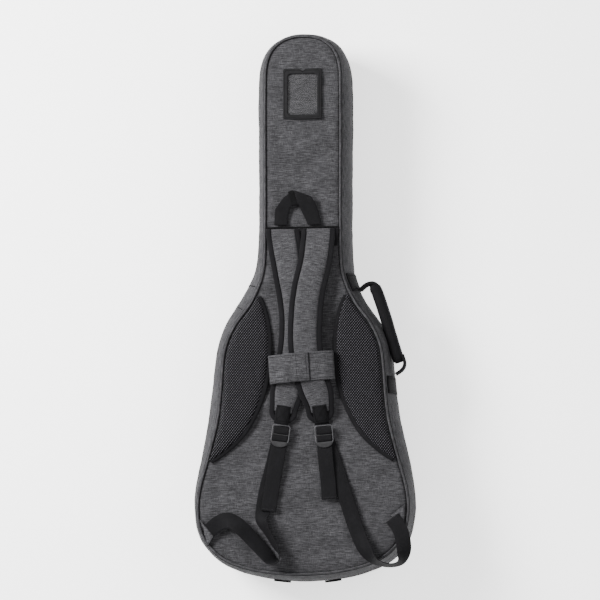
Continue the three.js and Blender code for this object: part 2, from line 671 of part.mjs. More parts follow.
/** Main zip slider in the left neck recess, with a pull that hangs down the front wall. */
function mainSlider(name, y) {
  const wall = CASE_OUTLINE[5][0] + CASE_OUTLINE[5][2];
  const halfHeight = 2;
  const inner = -(wall - ZIP_TAPE.recess + 2 * GAP);
  const outer = inner - SLIDER.thick;
  const body = box([outer, y, ZIP_Z - halfHeight], [inner, y + SLIDER.length, ZIP_Z + halfHeight]);
  const pullTop = ZIP_Z - 1;
  const pull = box(
    [outer - GAP - SLIDER.pullThick, y + SLIDER.pullInset, pullTop - SLIDER.pullLength],
    [outer - GAP, y + SLIDER.length - SLIDER.pullInset, pullTop],
  );
  return [piece(`main_slider_${name}`, body, 'zipMetal'), piece(`main_pull_${name}`, pull, 'zipMetal')];
}

/** Pocket zip slider on a wall that faces +X at (x, y), with a pull lying along the zip. */
function pocketSlider(name, x, y) {
  const [low, high] = [POCKET_ZIP.low + 1, POCKET_ZIP.high - 1];
  const inner = x + POCKET_ZIP.thick + GAP;
  const body = box([inner, y, low], [inner + 4, y + SLIDER.length, high]);
  const pullEnd = y + SLIDER.length + GAP;
  const pull = box([inner + 1, pullEnd, low + 1], [inner + 2.6, pullEnd + 26, high - 1]);
  return [piece(`${name}_slider`, body, 'zipMetal'), piece(`${name}_pull`, pull, 'zipMetal')];
}

// ---------------------------------------------------------------- inside the neck

function neckSupport() {
  const floor = ZIP_Z - HALF_DEPTH + PANEL + LINING + 2 * GAP;
  const [half, notch, top] = [58, 26, floor + 38];
  const cradle = [
    [-half, floor], [half, floor], [half, top], [notch, top], [notch - 6, floor + 14],
    [-notch + 6, floor + 14], [-notch, top], [-half, top],
  ];
  return assembly(
    piece('neck_cradle', profileAlongY(cradle, 300, 345), 'foam'),
    piece('neck_strap', box([-half, 308, top + GAP], [half - 4, 337, top + GAP + 2.4]), 'webbing'),
  );
}

// ---------------------------------------------------------------- the whole bag

const bag = new THREE.Group();
bag.add(
  frontShell(),
  pockets(),
  neckSupport(),
  backShell(),
  ...meshPad(-1, 'left'),
  ...meshPad(1, 'right'),
  ...tagPocket(),
  ...cornerTabs(),
  haulLoop(),
  handlePatch('handle_patch_upper', 27, 68),
  handlePatch('handle_patch_lower', -178, -138),
  sideHandle(),
  ...strap('left', LEFT_STRAP),
  ...strap('right', RIGHT_STRAP),
  gripWrap(),
  ladderLock('left_ladder_lock', LEFT_BUCKLE),
  ladderLock('right_ladder_lock', RIGHT_BUCKLE),
  piece('left_tail', ribbon(LEFT_TAIL, 8), 'webbing'),
  piece('right_tail', ribbon(RIGHT_TAIL, 8), 'webbing'),
  piece('left_lower_webbing', ribbon(LEFT_LOWER_WEBBING, 33), 'webbing'),
  piece('right_lower_webbing', ribbon(RIGHT_LOWER_WEBBING, 30), 'webbing'),
  ...mainSlider('upper', 318),
  ...mainSlider('lower', 300),
  ...pocketSlider('pocket', 147.2, -205),
  ...pocketSlider('neck_pocket', 58.8, 290),
);

export default bag;
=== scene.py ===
"""Padded guitar gig bag, lying on its front with its shoulder straps uppermost."""
import math

import bpy
import numpy as np
from mathutils import Matrix, Vector, noise


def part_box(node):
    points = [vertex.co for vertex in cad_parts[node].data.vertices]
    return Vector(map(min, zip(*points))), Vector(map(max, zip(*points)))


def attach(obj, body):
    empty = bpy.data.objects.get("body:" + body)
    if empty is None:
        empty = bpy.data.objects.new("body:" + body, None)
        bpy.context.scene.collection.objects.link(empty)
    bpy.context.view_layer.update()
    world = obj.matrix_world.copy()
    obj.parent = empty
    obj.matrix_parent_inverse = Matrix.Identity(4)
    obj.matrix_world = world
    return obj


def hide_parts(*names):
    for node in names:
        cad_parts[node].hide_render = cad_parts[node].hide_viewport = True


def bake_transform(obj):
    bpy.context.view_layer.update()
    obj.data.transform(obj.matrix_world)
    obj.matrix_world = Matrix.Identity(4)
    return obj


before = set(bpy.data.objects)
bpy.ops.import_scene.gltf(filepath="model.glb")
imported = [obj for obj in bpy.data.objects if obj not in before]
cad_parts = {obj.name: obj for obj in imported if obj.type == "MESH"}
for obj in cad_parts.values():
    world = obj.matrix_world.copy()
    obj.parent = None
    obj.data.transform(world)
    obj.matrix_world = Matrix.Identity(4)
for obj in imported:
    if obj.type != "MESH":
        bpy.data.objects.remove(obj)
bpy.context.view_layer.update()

MM = 0.001
ZIP_Z = sum(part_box("hinge_strip")[i].z for i in (0, 1)) / 2 + 0.5 * MM
BACK_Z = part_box("back_panel_upper")[1].z
FRONT_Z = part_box("front_panel")[0].z
HALF_DEPTH = BACK_Z - ZIP_Z
SEAM_Y = (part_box("seam_tape")[0].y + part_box("seam_tape")[1].y) / 2
WEBBING = 30 * MM
WEBBING_THICK = 1.7 * MM
PIPING = 2.3 * MM
WALL_HEIGHT = 60 * MM
BAG_CENTRE = (0, -0.1)

# The flexible pieces' routes: x, y, height of the middle, and a fourth value, in mm. They are the CAD's
# routes, with their ends and some points of the folds moved by a few millimetres.
# A strap's fourth value is half its thickness; a webbing's is its roll in degrees.
STRAPS = {
    "left": [(-39, 156, 163, 1.8), (-38.9, 148, 163.4, 1.8), (-34, 120, 166.3, 3), (-25, 70, 169, 4.5),
             (-15, 15, 169.5, 4.5), (-11, -35, 169.5, 4.5), (-14, -84, 169.5, 4.5), (-24, -145, 169.5, 4.5),
             (-33, -186, 168.2, 3.8), (-37.5, -211, 167, 3)],
    "right": [(32, 156, 163.2, 1.8), (32, 146, 165.2, 1.8), (31, 126, 171.4, 3), (27, 88, 176, 4.5),
              (14, 30, 178.9, 4.5), (8, -25, 178.9, 4.5), (8, -84, 178.9, 4.5), (20, -145, 178.9, 4.5),
              (32, -184, 173, 3.8), (36, -211, 167, 3)],
}
STRAP_HALF_WIDTH = 34
STRAP_END_HALF_WIDTH = 28
STRAP_END_LENGTH = 23
STRAP_BINDING = 11
TAILS = {
    "left": [(-45.2, -276, 167.3, 0), (-52, -315, 168, 0), (-60, -362, 166, 0),
             (-67, -407, 166, 0)],
    "right": [(44.6, -276, 167.3, 0), (47, -307, 168, 0), (51, -345, 165.5, 0),
              (54, -384, 165.5, 0)],
}
LOWER_WEBBINGS = {
    "left": [(-44, -256, 162.8, 0), (-58, -315, 162.4, 0), (-72, -370, 162.4, 0), (-78, -408, 162.6, 4),
             (-79, -424, 169, 34), (-70, -444, 174.5, 58), (-53, -474, 176.5, 66), (-43, -494, 177.5, 82),
             (-47, -507, 177, 78), (-60, -504, 174, 46), (-76, -486, 171, 26), (-100, -460, 172, 18),
             (-126, -434, 176, 10), (-148, -424, 174, 0), (-167, -430, 169, 0), (-184, -444, 165.6, 0),
             (-191, -451, 164.6, 0)],
    "right": [(45, -256, 162.8, 0), (66, -318, 162.4, 0), (90, -392, 162.6, 0), (106, -440, 164.5, 3),
              (124, -482, 171, 22), (147, -508, 177, 66), (174, -516, 178, 80), (194, -511, 178, 74),
              (201, -492, 177, 34), (200, -468, 174, 6), (192, -442, 170, 0), (178, -422, 166, 0)],
}
PAD_INNER = [(86, 30), (73, 2), (63, -40), (60, -80), (64, -137), (75, -181), (90, -218), (114, -257),
             (140, -283), (166, -303), (186, -314)]
PAD_BINDING = 12
SWELL_PRESSURE = 4.0
SWELL_FRAMES = 20


# ------------------------------------------------------------------ camera, lights and floor

def make_stage():
    """Pale floor, soft studio light, and the camera over the bag's lower right."""
    aim = Vector((-0.0048, 0.0133, BACK_Z))
    toward = Vector((-0.114, 0.1405, -1)).normalized()
    distance = 8.0
    view_height = 1.19
    camera = bpy.data.cameras.new("camera")
    camera.lens = camera.sensor_width * distance / view_height
    camera.clip_end = 50
    viewer = bpy.data.objects.new("camera", camera)
    right = toward.cross(Vector((0, 1, 0))).normalized()
    up = right.cross(toward)
    turn = Matrix((right, up, -toward)).transposed().to_4x4()
    viewer.matrix_world = Matrix.Translation(aim - toward * distance) @ turn
    bpy.context.collection.objects.link(viewer)
    bpy.context.scene.camera = viewer

    floor_mesh = bpy.data.meshes.new("floor")
    reach = 30
    floor_mesh.from_pydata([(-reach, -reach, 0), (reach, -reach, 0), (reach, reach, 0), (-reach, reach, 0)],
                           [], [(0, 1, 2, 3)])
    floor = bpy.data.objects.new("floor", floor_mesh)
    floor.location.z = -0.2 * MM
    floor_material = bpy.data.materials.new("floor")
    floor_material.use_nodes = True
    shader = floor_material.node_tree.nodes["Principled BSDF"]
    shader.inputs["Base Color"].default_value = (0.96, 0.96, 0.96, 1)
    shader.inputs["Roughness"].default_value = 0.9
    shader.inputs["Emission Color"].default_value = (1, 1, 1, 1)
    shader.inputs["Emission Strength"].default_value = 1.3
    floor_mesh.materials.append(floor_material)
    bpy.context.collection.objects.link(floor)

    for name, place, size, power in (("key", (-2.2, 1.1, 2.1), 1.4, 350),
                                     ("fill", (2.3, 0.3, 2.6), 2.4, 70),
                                     ("low", (0.3, -2.6, 2.4), 2.2, 50)):
        light = bpy.data.lights.new(name, "AREA")
        light.size = size
        light.energy = power
        lamp = bpy.data.objects.new(name, light)
        lamp.location = place
        lamp.rotation_euler = (Vector((0, 0, 0.1)) - Vector(place)).to_track_quat("-Z", "Y").to_euler()
        bpy.context.collection.objects.link(lamp)
    world = bpy.data.worlds.new("studio")
    world.use_nodes = True
    world.node_tree.nodes["Background"].inputs["Color"].default_value = (1, 1, 1, 1)
    world.node_tree.nodes["Background"].inputs["Strength"].default_value = 0.55
    bpy.context.scene.world = world


# ------------------------------------------------------------------ materials

class Nodes:
    """Short-hand for building one material's node tree."""

    def __init__(self, name):
        self.material = bpy.data.materials.new(name)
        self.material.use_nodes = True
        self.tree = self.material.node_tree
        self.shader = self.tree.nodes["Principled BSDF"]

    def add(self, kind, inputs=None, **settings):
        node = self.tree.nodes.new(kind)
        for key, value in settings.items():
            setattr(node, key, value)
        for key, value in (inputs or {}).items():
            self.set(node, key, value)
        return node

    def set(self, node, key, value):
        self.fill(node.inputs[key], value)

    def fill(self, socket, value):
        """Links a socket, or gives it a constant."""
        if isinstance(value, bpy.types.NodeSocket):
            self.tree.links.new(value, socket)
        else:
            socket.default_value = value

    def math(self, operation, a, b=0.0):
        return self.add("ShaderNodeMath", {0: a, 1: b}, operation=operation).outputs[0]

    def times(self, a, b):
        return self.math("MULTIPLY", a, b)

    def surface(self, values):
        """Values or sockets for the shader."""
        for key, value in values.items():
            self.set(self.shader, key, value)

    def mix(self, share, a, b):
        node = self.add("ShaderNodeMix", data_type="RGBA")
        self.set(node, 0, share)
        colours = [socket for socket in node.inputs if socket.type == "RGBA"]
        for socket, value in zip(colours, (a, b)):
            self.fill(socket, value)
        return [socket for socket in node.outputs if socket.type == "RGBA"][0]

    def scaled(self, source, x, y, z=1.0):
        """Coordinates stretched along each axis."""
        return self.add("ShaderNodeMapping", {"Vector": source, "Scale": (x, y, z)}).outputs[0]

    def noise(self, vector, scale, detail=2.0, roughness=0.5):
        values = {"Vector": vector, "Scale": scale, "Detail": detail, "Roughness": roughness}
        return self.add("ShaderNodeTexNoise", values).outputs[0]

    def ramp(self, value, low, high):
        """Value mapped from low..high to 0..1, clamped."""
        node = self.add("ShaderNodeMapRange", {"Value": value, "From Min": low, "From Max": high})
        return node.outputs[0]

    def spread(self, value, low, high):
        """Value from 0..1 mapped to low..high."""
        node = self.add("ShaderNodeMapRange", {"Value": value, "To Min": low, "To Max": high})
        return node.outputs[0]

    def bump(self, height, distance, strength=1.0, normal=None):
        inputs = {"Height": height, "Distance": distance, "Strength": strength}
        if normal is not None:
            inputs["Normal"] = normal
        return self.add("ShaderNodeBump", inputs).outputs[0]

    def surface_coordinates(self, on_uv):
        """Metres over the surface: along and across a piece, or the object's own x and y."""
        source = self.add("ShaderNodeTexCoord")
        return source.outputs["UV"] if on_uv else source.outputs["Object"]


def grey(value, tint=0.0):
    """Linear grey with a little blue."""
    return (value, value * (1 - 0.2 * tint), value * (1 + 0.6 * tint), 1)


def weave_height(n, place, pitch):
    """Plain weave: threads over and under each other, pitch metres apart."""
    split = n.add("ShaderNodeSeparateXYZ", {0: place})
    waves = [n.math("SINE", n.times(split.outputs[i], math.pi / pitch)) for i in (0, 1)]
    return n.math("ABSOLUTE", n.times(*waves))


def heather(name, on_uv=True, tone=1.0, turned=False):
    """Melange polyester: dark and pale threads in short streaks, with a fine woven surface."""
    n = Nodes(name)
    place = n.surface_coordinates(on_uv)
    if turned:
        place = n.add("ShaderNodeMapping", {"Vector": place, "Rotation": (0, 0, math.pi / 2)}).outputs[0]
    streaks = n.noise(n.scaled(place, 60, 760), 1.0, 5.0, 0.66)
    threads = n.noise(n.scaled(place, 900, 90), 1.0, 4.0, 0.62)
    fine = n.noise(n.scaled(place, 700, 1500), 1.0, 2.0, 0.6)
    blotches = n.noise(n.scaled(place, 16, 22), 1.0, 3.0, 0.6)
    dark = grey(0.009 * tone, 0.12)
    middle = grey(0.037 * tone, 0.1)
    pale = grey(0.14 * tone, 0.05)
    base = n.mix(n.ramp(streaks, 0.4, 0.56), dark, middle)
    base = n.mix(n.times(n.ramp(streaks, 0.56, 0.76), 0.4), base, pale)
    base = n.mix(n.times(n.ramp(threads, 0.56, 0.76), 0.38), base, pale)
    base = n.mix(n.times(n.ramp(threads, 0.46, 0.3), 0.6), base, dark)
    base = n.mix(n.times(n.ramp(fine, 0.5, 0.75), 0.35), base, pale)
    base = n.mix(n.times(n.ramp(blotches, 0.4, 0.7), 0.3), base, dark)
    n.set(n.shader, "Base Color", base)
    n.surface({"Roughness": n.spread(fine, 0.82, 0.98)})
    n.surface({"Sheen Weight": 0.03, "Sheen Roughness": 0.5, "Specular IOR Level": 0.08})
    weave = n.bump(weave_height(n, place, 0.9 * MM), 0.25 * MM, 0.7)
    n.set(n.shader, "Normal", n.bump(streaks, 0.35 * MM, 0.6, n.bump(threads, 0.3 * MM, 0.5, weave)))
    return n.material


def webbing_material(name, value=0.0048, rib=1.6):
    """Nylon webbing or binding: cross ribs with a twill slant, painted shade in the grooves between the ribs,
    and random paler patches.
    """
    n = Nodes(name)
    place = n.surface_coordinates(True)
    split = n.add("ShaderNodeSeparateXYZ", {0: place})
    along, across = split.outputs[0], split.outputs[1]
    slant = n.math("ADD", along, n.times(across, 0.55))
    ribs = n.math("ABSOLUTE", n.math("SINE", n.times(slant, math.pi / (rib * MM))))
    cords = n.math("ABSOLUTE", n.math("SINE", n.times(across, math.pi / (1.1 * MM))))
    fibres = n.noise(n.scaled(place, 300, 900), 1.0, 3.0, 0.6)
    pale_patches = n.noise(n.scaled(place, 30, 45), 1.0, 3.0, 0.6)
    base = n.mix(n.ramp(fibres, 0.35, 0.75), grey(0.62 * value, 0.25), grey(1.35 * value, 0.2))
    # Painted shade: the colour darkens in the grooves between the ribs.
    base = n.mix(n.times(n.ramp(ribs, 0.0, 0.35), 0.6), grey(0.5 * value, 0.2), base)
    # Random paler patches.
    base = n.mix(n.times(n.ramp(pale_patches, 0.5, 0.8), 0.4), base, grey(2.0 * value, 0.15))
    n.set(n.shader, "Base Color", base)
    n.surface({"Roughness": n.spread(fibres, 0.6, 0.85)})
    n.surface({"Sheen Weight": 0.01, "Specular IOR Level": 0.07})
    height = n.math("ADD", n.times(ribs, 0.7), n.times(cords, 0.3))
    n.set(n.shader, "Normal", n.bump(height, 0.35 * MM, 0.8, n.bump(fibres, 0.2 * MM, 0.5)))
    return n.material


def spacer_mesh_material(name):
    """Spacer mesh: staggered rows of raised pale knots over near-black holes, painted shade in the openings
    over the dark layer beneath.
    """
    n = Nodes(name)
    place = n.add("ShaderNodeTexCoord").outputs["Object"]
    split = n.add("ShaderNodeSeparateXYZ", {0: place})
    row = n.times(split.outputs[1], 1 / (3.1 * MM))
    column = n.math("SUBTRACT", n.times(split.outputs[0], 1 / (5.06 * MM)), n.times(row, 0.5))
    y = n.math("SUBTRACT", n.math("FRACT", n.math("ADD", row, 1000.0)), 0.5)
    x = n.math("SUBTRACT", n.math("FRACT", n.math("ADD", column, 1000.0)), 0.5)
    x = n.times(n.math("ADD", x, n.times(y, 0.12)), 4.9)
    y = n.times(y, 2.3)
    reach = n.math("SQRT", n.math("ADD", n.times(x, x), n.times(y, y)))
    knot = n.ramp(reach, 1.05, 0.45)
    threads = n.noise(n.scaled(place, 900, 900, 900), 1.0, 2.0, 0.6)
    knit = n.mix(n.ramp(threads, 0.3, 0.75), grey(0.045, 0.2), grey(0.13, 0.15))
    # The holes are painted near-black: painted shade in the openings over the dark layer beneath.
    n.set(n.shader, "Base Color", n.mix(knot, grey(0.0012, 0.2), knit))
    n.surface({"Roughness": 0.75, "Sheen Weight": 0.01, "Specular IOR Level": 0.06})
    n.set(n.shader, "Normal", n.bump(knot, 1.0 * MM, 1.0, n.bump(threads, 0.2 * MM, 0.4)))
    return n.material


def moulded(name, value, roughness, metallic=0.0, grain=900, gloss=0.25):
    """Moulded plastic, rubber or coated metal with a fine grain and rubbed edges."""
    n = Nodes(name)
    place = n.surface_coordinates(False)
    fine = n.noise(n.scaled(place, grain, grain, grain), 1.0, 3.0, 0.6)
    rubbed = n.noise(n.scaled(place, 90, 90, 90), 1.0, 4.0, 0.65)
    base = n.mix(n.ramp(rubbed, 0.45, 0.75), grey(value, 0.1), grey(1.7 * value, 0.1))
    n.set(n.shader, "Base Color", base)
    n.surface({"Roughness": n.spread(rubbed, roughness - 0.08, min(1.0, roughness + 0.14))})
    n.surface({"Metallic": metallic, "Specular IOR Level": gloss})
    n.set(n.shader, "Normal", n.bump(fine, 0.06 * MM, 0.5))
    return n.material


def plush_material(name, value):
    """Brushed lining or foam: soft short pile."""
    n = Nodes(name)
    place = n.surface_coordinates(False)
    pile = n.noise(n.scaled(place, 500, 500, 500), 1.0, 4.0, 0.7)
    nap = n.noise(n.scaled(place, 14, 20, 20), 1.0, 3.0, 0.6)
    base = n.mix(n.ramp(pile, 0.3, 0.7), grey(0.7 * value), grey(1.3 * value))
    n.set(n.shader, "Base Color", n.mix(n.times(nap, 0.4), base, grey(1.5 * value)))
    n.surface({"Roughness": 1.0, "Sheen Weight": 0.2, "Specular IOR Level": 0.1})
    n.set(n.shader, "Normal", n.bump(pile, 0.6 * MM, 0.8))
    return n.material


def film_material(name):
    """Clear flexible window film, slightly wavy."""
    n = Nodes(name)
    place = n.surface_coordinates(False)
    waves = n.noise(n.scaled(place, 22, 17, 20), 1.0, 1.0, 0.4)
    haze = n.noise(n.scaled(place, 60, 60, 60), 1.0, 2.0, 0.5)
    n.set(n.shader, "Base Color", n.mix(haze, grey(0.06), grey(0.12)))
    n.surface({"Alpha": 0.04, "Roughness": 0.16, "Specular IOR Level": 0.45})
    n.set(n.shader, "Normal", n.bump(waves, 3 * MM, 0.4))
    return n.material


def make_materials():
    return {
        "heather": heather("heather"),
        "heather_flat": heather("heather_flat", on_uv=False),
        "heather_strap": heather("heather_strap", tone=1.12, turned=True),
        "heather_wrap": heather("heather_wrap", tone=1.05, on_uv=False),
        "heather_piping": heather("heather_piping", tone=1.1),
        "heather_tab": heather("heather_tab", on_uv=False, tone=1.25),
        "webbing": webbing_material("webbing"),
        "binding": webbing_material("binding", 0.006, 0.9),
        # The darkest webbing: the tape over the back seam, partly painted shade in its gap, and painted shade
        # on the haul loop's hidden face and round the corner tabs.
        "seam": webbing_material("seam", 0.002, 0.8),
        "thread": moulded("thread", 0.02, 0.85, grain=2500, gloss=0.1),
        # Dark thread, also used for painted shade lines by the piping and at the wrap flap's end.
        "dark_thread_and_shade": moulded("dark_thread_and_shade", 0.003, 0.85, grain=2500, gloss=0.05),
        "mesh": spacer_mesh_material("mesh"),
        "plastic": moulded("plastic", 0.006, 0.45),
        # A lighter copy of the black plastic for the buckle frames: painted highlight on their rounded rims.
        "plastic_edge_highlight": moulded("plastic_edge_highlight", 0.035, 0.4),
        "plastic_tab": moulded("plastic_tab", 0.012, 0.45),
        "welt": webbing_material("welt", 0.025, 1.2),
        "rubber": moulded("rubber", 0.004, 0.8, gloss=0.1),
        "zip_tape": webbing_material("zip_tape", 0.004, 0.7),
        "zip_teeth": moulded("zip_teeth", 0.005, 0.4),
        "zip_metal": moulded("zip_metal", 0.05, 0.35, 0.9),
        "plush": plush_material("plush", 0.06),
        "foam": plush_material("foam", 0.025),
        "film": film_material("film"),
        "vinyl": moulded("vinyl", 0.007, 0.7, grain=1400, gloss=0.08),
    }


# ------------------------------------------------------------------ mesh building

def build_mesh(name, verts, faces, uvs, material):
    """Mesh object from vertices, faces and one uv pair for each face corner."""
    mesh = bpy.data.meshes.new(name)
    mesh.from_pydata([tuple(v) for v in verts], [], faces)
    layer = mesh.uv_layers.new(name="UVMap")
    layer.data.foreach_set("uv", np.asarray(uvs, np.float32).ravel())
    mesh.polygons.foreach_set("use_smooth", [True] * len(mesh.polygons))
    mesh.materials.append(material)
    mesh.validate()
    mesh.update()
    made = bpy.data.objects.new(name, mesh)
    bpy.context.collection.objects.link(made)
    return made


def steps_along(points, closed):
    """Distance along a row of points, with one more value if it closes."""
    row = np.vstack([points, points[:1]]) if closed else points
    return np.concatenate([[0], np.cumsum(np.linalg.norm(np.diff(row, axis=0), axis=1))])


def grid(name, places, material, ring=False, tube=False):
    """Skin over places[i][j]; ring closes i, tube closes j, and a tube that is no ring gets end caps."""
    places = np.asarray(places, float)
    rows, columns = places.shape[:2]
    u = steps_along(places[:, columns // 2], ring)
    v = steps_along(places[rows // 2], tube)
    faces, uvs = [], []
    for i in range(rows if ring else rows - 1):
        for j in range(columns if tube else columns - 1):
            i2, j2 = (i + 1) % rows, (j + 1) % columns
            faces.append((i * columns + j, i2 * columns + j, i2 * columns + j2, i * columns + j2))
            uvs += [(u[i], v[j]), (u[i + 1], v[j]), (u[i + 1], v[j + 1]), (u[i], v[j + 1])]
    if tube and not ring:
        last = (rows - 1) * columns
        faces += [tuple(range(columns)), tuple(last + j for j in reversed(range(columns)))]
        uvs += [(u[0], v[j]) for j in range(columns)] + [(u[-1], v[j]) for j in reversed(range(columns))]
    made = build_mesh(name, places.reshape(-1, 3), faces, uvs, material)
    make_outward(made)
    return made


def make_outward(made):
    """Turns the faces of a closed mesh outwards."""
    mesh = made.data
    points = np.array([v.co for v in mesh.vertices])
    total = 0.0
    mesh.calc_loop_triangles()
    for triangle in mesh.loop_triangles:
        a, b, c = points[list(triangle.vertices)]
        total += a.dot(np.cross(b, c))
    if total < 0:
        mesh.flip_normals()


def smooth_curve(points, count, closed=False):
    """Centripetal Catmull-Rom through points, as count rows evenly spread over the control spans."""
    points = np.asarray(points, float)
    if closed:
        ends = np.vstack([points[-1:], points, points[:2]])
    else:
        ends = np.vstack([2 * points[0] - points[1], points, 2 * points[-1] - points[-2]])
    spans = len(ends) - 3
    rows = []
    for k in range(count):
        at = spans * (k / count if closed else k / (count - 1))
        i = min(int(at), spans - 1)
        p = ends[i:i + 4]
        gaps = np.maximum(np.linalg.norm(np.diff(p[:, :3], axis=0), axis=1) ** 0.5, 1e-6)
        t = np.concatenate([[0], np.cumsum(gaps)])
        x = t[1] + (at - i) * (t[2] - t[1])
        a = [((t[m + 1] - x) * p[m] + (x - t[m]) * p[m + 1]) / (t[m + 1] - t[m]) for m in range(3)]
        b = [((t[m + 2] - x) * a[m] + (x - t[m]) * a[m + 1]) / (t[m + 2] - t[m]) for m in range(2)]
        rows.append(((t[2] - x) * b[0] + (x - t[1]) * b[1]) / (t[2] - t[1]))
    return np.array(rows)


def resample(points, count, closed=False):
    """The same line, at evenly spaced places."""
    along = steps_along(points, closed)
    row = np.vstack([points, points[:1]]) if closed else points
    targets = np.linspace(0, along[-1], count, endpoint=not closed)
    return np.stack([np.interp(targets, along, row[:, k]) for k in range(row.shape[1])], axis=1)


def circle(count):
    """Angles evenly spaced round a circle."""
    return np.linspace(0, 2 * math.pi, count, endpoint=False)


def rounded(value, power):
    """A sine or cosine pushed outwards, which squares off a circle."""
    return math.copysign(abs(value) ** power, value)


def rise(height):
    """A step straight up."""
    return np.array((0, 0, height))


def tangents(points, closed=False):
    if closed:
        steps = np.roll(points, -1, axis=0) - np.roll(points, 1, axis=0)
    else:
        steps = np.gradient(points, axis=0)
    return steps / np.maximum(np.linalg.norm(steps, axis=1, keepdims=True), 1e-12)


def wander(point, scale, seed=0.0):
    """Smooth noise from -1 to 1 at a place."""
    return noise.noise(Vector((point[0] * scale, point[1] * scale, point[2] * scale + seed)))


def place_piece(piece, body, *nodes, slot=None, fill=None):
    """Puts a finished piece on its body, in place of CAD nodes."""
    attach(piece, body)
    if nodes:
        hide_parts(*nodes)
    return piece


def skin(name, rows, material, body, *nodes, ring=False, slot=None, fill=None):
    """A closed skin over rows of sections, placed on its body."""
    made = grid(name, rows, material, ring=ring, tube=True)
    return place_piece(made, body, *nodes, slot=slot, fill=fill)


def swell(piece, cap, floor=None):
    """Pads a closed cloth piece out by a short cloth simulation under inner pressure.

    No point moves further than cap, and none goes below floor; the piece keeps its own faces.
    """
    mesh = piece.data
    before = np.array([v.co for v in mesh.vertices])
    cloth = piece.modifiers.new("padding", "CLOTH")
    cloth.settings.quality = 6
    cloth.settings.mass = 0.2
    cloth.settings.use_pressure = True
    cloth.settings.uniform_pressure_force = SWELL_PRESSURE
    cloth.settings.effector_weights.gravity = 0
    cloth.collision_settings.use_collision = False
    cloth.point_cache.frame_end = SWELL_FRAMES
    for step in range(1, SWELL_FRAMES + 1):
        bpy.context.scene.frame_set(step)
    solved = piece.evaluated_get(bpy.context.evaluated_depsgraph_get()).data
    move = np.array([v.co for v in solved.vertices]) - before
    piece.modifiers.remove(cloth)
    bpy.context.scene.frame_set(1)
    length = np.linalg.norm(move, axis=1, keepdims=True)
    move *= np.minimum(1, cap / np.maximum(length, 1e-9))
    after = before + move
    if floor is not None:
        after[:, 2] = np.maximum(after[:, 2], np.minimum(before[:, 2], floor))
    mesh.vertices.foreach_set("co", after.ravel())
    mesh.update()
    return piece


def joined_boxes(name, centres, axes, sizes, material):
    """Many small rounded bars in one mesh: centres, three axes each, and half sizes."""
    corners = np.array([(x, y, z) for z in (-1, 1) for y in (-1, 1) for x in (-1, 1)], float)
    quads = ((0, 2, 3, 1), (4, 5, 7, 6), (0, 1, 5, 4), (2, 6, 7, 3), (0, 4, 6, 2), (1, 3, 7, 5))
    verts, faces, uvs = [], [], []
    for k, (centre, axis_set) in enumerate(zip(centres, axes)):
        local = corners * np.asarray(sizes)
        local[:, :2] *= np.where(corners[:, 2:] > 0, 0.8, 1.0)
        verts += list(np.asarray(centre) + local @ np.asarray(axis_set))
        faces += [tuple(8 * k + c for c in quad) for quad in quads]
        uvs += [(0, 0), (1 * MM, 0), (1 * MM, 1 * MM), (0, 1 * MM)] * 6
    return build_mesh(name, verts, faces, uvs, material)


def between(line, along, target):
    """The place on a line at a distance along it."""
    return np.array([np.interp(target, along, line[:, k]) for k in range(3)])


def stitches(name, line, ups, body, material, pitch=3.2, length=2.3, width=0.32):
    """A row of stitches lying along a line, on a surface whose outward direction is ups."""
    along = steps_along(line, False)
    centres, axes = [], []
    for target in np.arange(pitch * MM / 2, along[-1], pitch * MM):
        place = between(line, along, target)
        ahead = between(line, along, target + 0.5 * MM)
        behind = between(line, along, target - 0.5 * MM)
        forward = ahead - behind
        if np.linalg.norm(forward) < 1e-9:
            continue
        forward /= np.linalg.norm(forward)
        up = between(ups, along, target)
        side = np.cross(up, forward)
        side /= max(np.linalg.norm(side), 1e-9)
        axes.append((forward, side, np.cross(forward, side)))
        centres.append(place)
    made = joined_boxes(name, centres, axes, (length * MM / 2, width * MM, width * MM * 0.8), material)
    return place_piece(made, body)


def upward(line):
    """One upward direction for each point of a line."""
    return np.tile((0.0, 0.0, 1.0), (len(line), 1))


# ------------------------------------------------------------------ the case's outline

def crest(node, height, centre=None):
    """The ring of a node's vertices at one height, in order about a centre or its own middle."""
    points = np.array([v.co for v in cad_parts[node].data.vertices])
    ring = np.unique(np.round(points[np.abs(points[:, 2] - height) < 0.2 * MM][:, :2], 6), axis=0)
    if centre is None:
        centre = (ring.max(axis=0) + ring.min(axis=0)) / 2
    return ring[np.argsort(np.arctan2(ring[:, 0] - centre[0], ring[:, 1] - centre[1]))]


class Outline:
    """The back panel's edge line, with outward directions and the side wall's bulge."""

    def __init__(self, count=520):
        ring = crest("back_piping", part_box("back_piping")[1].z, BAG_CENTRE)
        dense = smooth_curve(ring, 4 * len(ring), closed=True)
        self.line = resample(dense, count, closed=True)
        along = tangents(self.line, closed=True)
        self.out = np.stack([-along[:, 1], along[:, 0]], axis=1)
        if np.mean(np.sum(self.out * self.line, axis=1)) < 0:
            self.out = -self.out
        wall = smooth_curve(crest("back_gusset", ZIP_Z + 24 * MM, BAG_CENTRE), 800, closed=True)
        gaps = np.linalg.norm(self.line[:, None] - wall[None], axis=2).min(axis=1)
        self.bulge = gaps / 0.93

    def at(self, i, u, z):
        """The point u outside station i, at height z."""
        return (*(self.line[i] + self.out[i] * u), z)

    def on_wall(self, i, share, proud, side=1):
        """The point proud of the side wall, at a share of its height from the zip to the panel."""
        reach = wall_reach(self.bulge[i], share) + proud
        return self.at(i, reach, ZIP_Z + side * share * WALL_HEIGHT)

    def picked(self, test):
        """Stations that pass a test of x and y, in order and unbroken."""
        good = np.array([bool(test(x, y)) for x, y in self.line])
        first = next(i for i in range(len(good)) if good[i] and not good[i - 1])
        order = [(first + k) % len(good) for k in range(len(good))]
        kept = []
        for i in order:
            if not good[i]:
                break
            kept.append(i)
        return kept


def wall_reach(bulge, d):
    """How far the side wall stands out, at d of its height from the zip (0) to the panel (1)."""
    return bulge * (1 - d ** 3) + 2 * MM * d ** 3


# ------------------------------------------------------------------ panels, walls and piping

